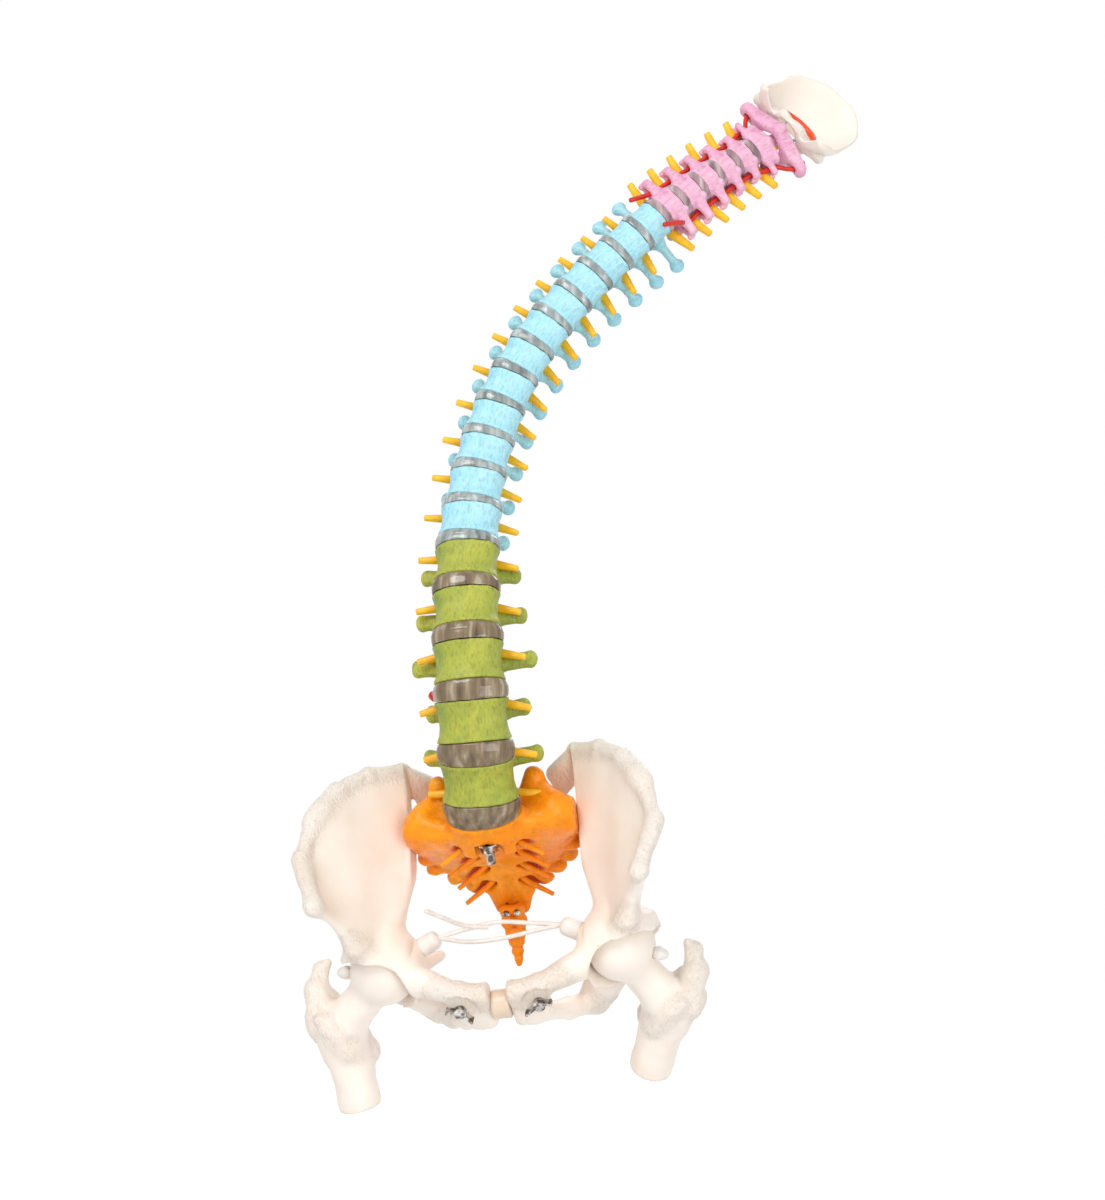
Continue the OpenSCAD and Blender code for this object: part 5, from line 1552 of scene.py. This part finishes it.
def makeCore():
    r = spine["coreWidth"] / 2
    foot = lowDisc + studTurn @ np.array([0, 0, -coreLook["foot"]])
    stops = [foot] + [bodySpot(k) for k in range(axisLevel)] + [placed(axisLevel, (0, 0, -1))]
    for k in range(axisLevel + 1):
        path = curved([stops[k], discSpots[k], stops[k + 1]], 5)
        points, faces = loftMesh(tubeRings(path, r, coreLook["sides"]))
        piece = makeMesh("core_" + levels[k], points, faces, coreMaterial)
        blendAcross(piece)
        finishPiece(piece, "core_steel", "flexible_core")
    rod = [placed(axisLevel, (0, 0, z)) for z in (-1.5, toothTop + 3.5)]
    points, faces = roundedTube(rod, spine["rodWidth"] / 2, coreLook["sides"])
    piece = makeMesh("core_tip", points, faces, coreMaterial)
    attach(piece, "c2")
    finishPiece(piece, "core_steel", "flexible_core")
    ringR = (coreLook["ringInner"] + coreLook["wire"]) / 2
    rings, steps, sides = [], 48, 14
    for i in range(steps):
        a = 2 * math.pi * i / steps
        along = np.array([math.cos(a), 0, math.sin(a)])
        rings.append([along * (ringR + coreLook["wire"] / 2 * math.cos(b)) + (0, coreLook["wire"] / 2 * math.sin(b), 0)
                      for b in (2 * math.pi * j / sides for j in range(sides))])
    rings.append(rings[0])
    points, faces = loftMesh(rings, False)
    points = np.array(points) + (0, 0, toothTop + 3 + ringR)
    piece = makeMesh("hanging_ring", points, faces, chromeMaterial, levelPlace(axisLevel))
    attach(piece, "c2")
    finishPiece(piece, "bright_metal", "flexible_core")


makeCore()


# ---- spinal cord, nerve roots and the two arteries of the neck
nerveLook = {"cord": 8, "rootBase": 3.2, "rootTip": 2.2, "reach": 18, "sides": 14, "artery": 1.8}


def canalSpot(k):
    return placed(k, (0, canalY(k), 0))


def rootDepth(k):
    return -1 if k < 17 else -3.5


def rootFall(k):
    return -3 if k == 0 else 5 if k == 1 else 9 if k < 5 else 6.5 if k < 17 else -3


def makeNerves():
    stops = [inSacrum((0, 21, -14))] + [canalSpot(k) for k in range(atlasLevel + 1)]
    stops.append(placed(atlasLevel, (0, canalY(atlasLevel), bodyH(atlasLevel) + 6)))
    r = nerveLook["cord"] / 2
    for k in range(skullLevel):
        path = curved([stops[k], (stops[k] + stops[k + 1]) / 2, stops[k + 1]], 3)
        points, faces = loftMesh(tubeRings(path, r, nerveLook["sides"]))
        piece = makeMesh("cord_" + levels[k], points, faces, nerveMaterial)
        blendAcross(piece)
        finishPiece(piece, "nerve_plastic", "spinal_cord")
    path = curved([stops[-2], stops[-1]], 4)
    points, faces = roundedTube(path, r, nerveLook["sides"])
    piece = makeMesh("cord_top", points, faces, nerveMaterial)
    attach(piece, "c1")
    finishPiece(piece, "nerve_plastic", "spinal_cord")
    for k in range(axisLevel + 1):
        points, faces = [], []
        for s in (-1, 1):
            z = -(bodyH(k) + discT(k)) / 2
            y = canalY(k) + rootDepth(k)
            tip = (s * (bodyW(k) / 2 + nerveLook["reach"] + (-5 if k < 17 else 3)), y - 6,
                   z - rootFall(k) - (2.5 if s > 0 and k < 17 else 0))
            a, b = placed(k, (s * 2, y, z)), placed(k, tip)
            mid = a + (b - a) * 0.5
            fuller = 1 if k < 17 else 1.18
            radii = [r * fuller for r in (nerveLook["rootBase"], nerveLook["rootBase"] * 0.98, nerveLook["rootTip"])]
            p, f = roundedTube([a, mid, b], radii, nerveLook["sides"], 0.3)
            faces += [[i + len(points) for i in face] for face in f]
            points += list(p)
        piece = makeMesh("roots_" + levels[k], points, faces, nerveMaterial)
        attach(piece, levels[k])
        finishPiece(piece, "nerve_plastic", "spinal_cord")
    # the tail in the sacrum and its roots
    points, faces = roundedTube(curved([inSacrum((0, 20, -78)), inSacrum((0, 20, -45)), inSacrum((0, 21, -14))], 4),
                                list(np.linspace(2, 4, 9)), nerveLook["sides"])
    points, faces = list(points), list(faces)
    for hx, hz in sacrumLook["holes"]:
        for s in (-1, 1):
            front = float(np.interp(hz, sacrumLook["heights"], sacrumLook["fronts"]))
            p, f = roundedTube([inSacrum((s * 2, 20, hz + 6)), inSacrum((s * (hx - 2), front + 2.0, hz)),
                                inSacrum((s * (hx + 14), front - 4.0, hz - 8))], (2.0, 2.1, 1.6), 12, 0.4)
            faces += [[i + len(points) for i in face] for face in f]
            points += list(p)
    piece = makeMesh("roots_sacrum", points, faces, paints["sacrum_paint"])
    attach(piece, "pelvis")
    finishPiece(piece, "nerve_plastic", "spinal_cord")


def makeArteries():
    def stop(k, s, z):
        return placed(k, (s * arteryX(k), arteryY(k), z - 3 if k == axisLevel else z))
    for s, side in ((-1, "right"), (1, "left")):
        for k in range(18, skullLevel):
            path = [stop(k - 1, s, 4), stop(k, s, -4)]
            if k == 18:
                # the free end stands off the vertebra below
                loose = placed(17, (s * arteryX(17) - 5, -15 if s > 0 else arteryY(17) - 6, -21))
                bend = placed(17, (s * arteryX(17) - 1, -9 if s > 0 else arteryY(17) - 4, -8))
                path = [loose, bend, stop(17, s, 4), stop(18, s, -4)]
            path.append(stop(k, s, 4))
            if k == atlasLevel:
                path.append(stop(k, s, 8))
            points, faces = roundedTube(curved(path, 3), nerveLook["artery"], nerveLook["sides"], 0.5)
            piece = makeMesh("artery_%s_%s" % (levels[k], side), points, faces, arteryMaterial)
            if k == 18:
                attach(piece, "c6")
            else:
                blendAcross(piece)
            finishPiece(piece, "artery_plastic", "vertebral_arteries")


makeNerves()
makeArteries()
print("cord, roots and arteries made")


# ---- elastic cord from femur to femur, with its plugs, stops and loose end
elasticLook = {"r": 1.5, "plug": 13, "sides": 16}


def plugEnd(side, r):
    return inPelvis(headSpot * (side, 1, 1) + cordWay * (side, 1, 1) * r)


def makeElastic():
    r = elasticLook["r"]
    cup = socketR + hipLook["socketWall"]
    ends = plugEnd(-1, cup + 12), plugEnd(1, cup + 12)
    strands = {
        "upper": [(-22, -23, -78), (0, -22, -76), (22, -23, -79)],
        "lower": [(-22, -28, -85), (0, -28, -85), (22, -28, -82)],
    }
    for name, middle in strands.items():
        path = curved([ends[0]] + [inPelvis(p) for p in middle] + [ends[1]], 8)
        points, faces = roundedTube(path, r, elasticLook["sides"])
        piece = makeMesh("elastic_" + name, points, faces, cordMaterial)
        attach(piece, "pelvis")
        finishPiece(piece, "cord_white", "elastic_cord")
    path = curved([inPelvis((-8, -24, -78)), inPelvis((-22, -30, -71)), inPelvis((-32, -38, -59)),
                   inPelvis((-42, -44, -48))], 8)
    points, faces = roundedTube(path, r, elasticLook["sides"])
    piece = makeMesh("elastic_tail", points, faces, cordMaterial)
    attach(piece, "pelvis")
    finishPiece(piece, "cord_white", "elastic_cord")
    for side, name in ((-1, "right"), (1, "left")):
        a, b = plugEnd(side, cup - 1), plugEnd(side, cup + 13)
        rim = elasticLook["plug"] / 2
        path = [a + (b - a) * t for t in (0, 0.05, 0.5, 0.75, 0.88, 0.96, 1.0)]
        points, faces = loftMesh(tubeRings(path, [rim * g for g in (0.97, 1, 1, 0.96, 0.84, 0.62, 0.34)], 40))
        piece = makeMesh("plug_" + name, points, faces, cordMaterial)
        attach(piece, "pelvis")
        finishPiece(piece, "cord_white", "elastic_cord")
        knob = Carving((-7, -7, -7), (7, 7, 7), 0.5)
        knob.ball((0, 0, 0), femurLook["knobR"], 0.5)
        knob.limb((0, 0, 0), (3.2, 0, 0.6), 3.2, 3.0, 1.5)
        p, q = knob.skin()
        place = placement(femurTurn(side) @ np.diag([side, 1, 1.0]), knobAt(side)) if side > 0 else \
            placement(femurTurn(side) @ rotZ(180), knobAt(side))
        piece = makeMesh("stop_" + name, p, q, cordMaterial, place)
        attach(piece, "femur_" + name)
        finishPiece(piece, "cord_white", "elastic_cord")


makeElastic()
print("elastic cord made")


# ---- metal hardware keeps its solids and gets its own finish
fastenerNode = bpy.data.objects["fasteners"]
fastenerNode.data.materials.clear()
fastenerNode.data.materials.append(chromeMaterial)


# ---- floor, lamps and world
def makeStage():
    size = 9.0
    mesh = bpy.data.meshes.new("floor")
    mesh.from_pydata([(-size, -size, 0), (size, -size, 0), (size, size, 0), (-size, size, 0)], [], [[0, 1, 2, 3]])
    floor = bpy.data.objects.new("floor", mesh)
    bpy.context.scene.collection.objects.link(floor)
    floor.location = (0, 0, shot["floorHeight"])
    material, tree, shader = shaderTree("floor_white")
    shader.inputs["Base Color"].default_value = (0.86, 0.86, 0.86, 1)
    shader.inputs["Roughness"].default_value = 0.9
    glow = addNode(tree, "ShaderNodeEmission", {"Color": (1, 1, 1, 1), "Strength": 1.32})
    mix = addNode(tree, "ShaderNodeMixShader")
    rays = addNode(tree, "ShaderNodeLightPath")
    seen = mathOn(tree, "MAXIMUM", rays.outputs["Is Camera Ray"],
                  mathOn(tree, "MAXIMUM", rays.outputs["Is Glossy Ray"], rays.outputs["Is Transmission Ray"]))
    tree.links.new(mathOn(tree, "MULTIPLY", seen, 0.72), mix.inputs[0])
    tree.links.new(shader.outputs[0], mix.inputs[1])
    tree.links.new(glow.outputs[0], mix.inputs[2])
    tree.links.new(mix.outputs[0], tree.nodes["Material Output"].inputs["Surface"])
    floor.data.materials.append(material)


def makeLamp(name, place, size, power, aim=(0.05, 0, 0.2)):
    data = bpy.data.lights.new(name, "AREA")
    data.shape = "DISK"
    data.size = size
    data.energy = power
    lamp = bpy.data.objects.new(name, data)
    bpy.context.scene.collection.objects.link(lamp)
    lamp.location = place
    way = Matrix.Translation(place).inverted() @ Matrix.Translation(aim)
    lamp.rotation_euler = way.to_translation().to_track_quat("-Z", "Y").to_euler()


def makeWorld():
    world = bpy.data.worlds.new("world")
    bpy.context.scene.world = world
    world.use_nodes = True
    tree = world.node_tree
    light = tree.nodes["Background"]
    light.inputs["Color"].default_value = (1, 1, 1, 1)
    light.inputs["Strength"].default_value = shot["worldLight"]
    seen = addNode(tree, "ShaderNodeBackground", {"Color": (1, 1, 1, 1), "Strength": 1.0})
    rays = addNode(tree, "ShaderNodeLightPath")
    mix = addNode(tree, "ShaderNodeMixShader")
    share = mathOn(tree, "MAXIMUM", rays.outputs["Is Camera Ray"],
                   mathOn(tree, "MAXIMUM", rays.outputs["Is Glossy Ray"], rays.outputs["Is Transmission Ray"]))
    tree.links.new(share, mix.inputs[0])
    tree.links.new(light.outputs[0], mix.inputs[1])
    tree.links.new(seen.outputs[0], mix.inputs[2])
    tree.links.new(mix.outputs[0], tree.nodes["World Output"].inputs["Surface"])


makeStage()
makeWorld()
makeLamp("key", (-0.9, -1.7, 1.5), 1.1, shot["keyPower"])
makeLamp("fill", (0.8, -1.8, -0.2), 1.2, shot["fillPower"])
makeLamp("rim", (0.7, 1.4, 1.3), 1.0, shot["rimPower"])
bpy.context.scene.view_settings.view_transform = "Standard"
print("stage made")
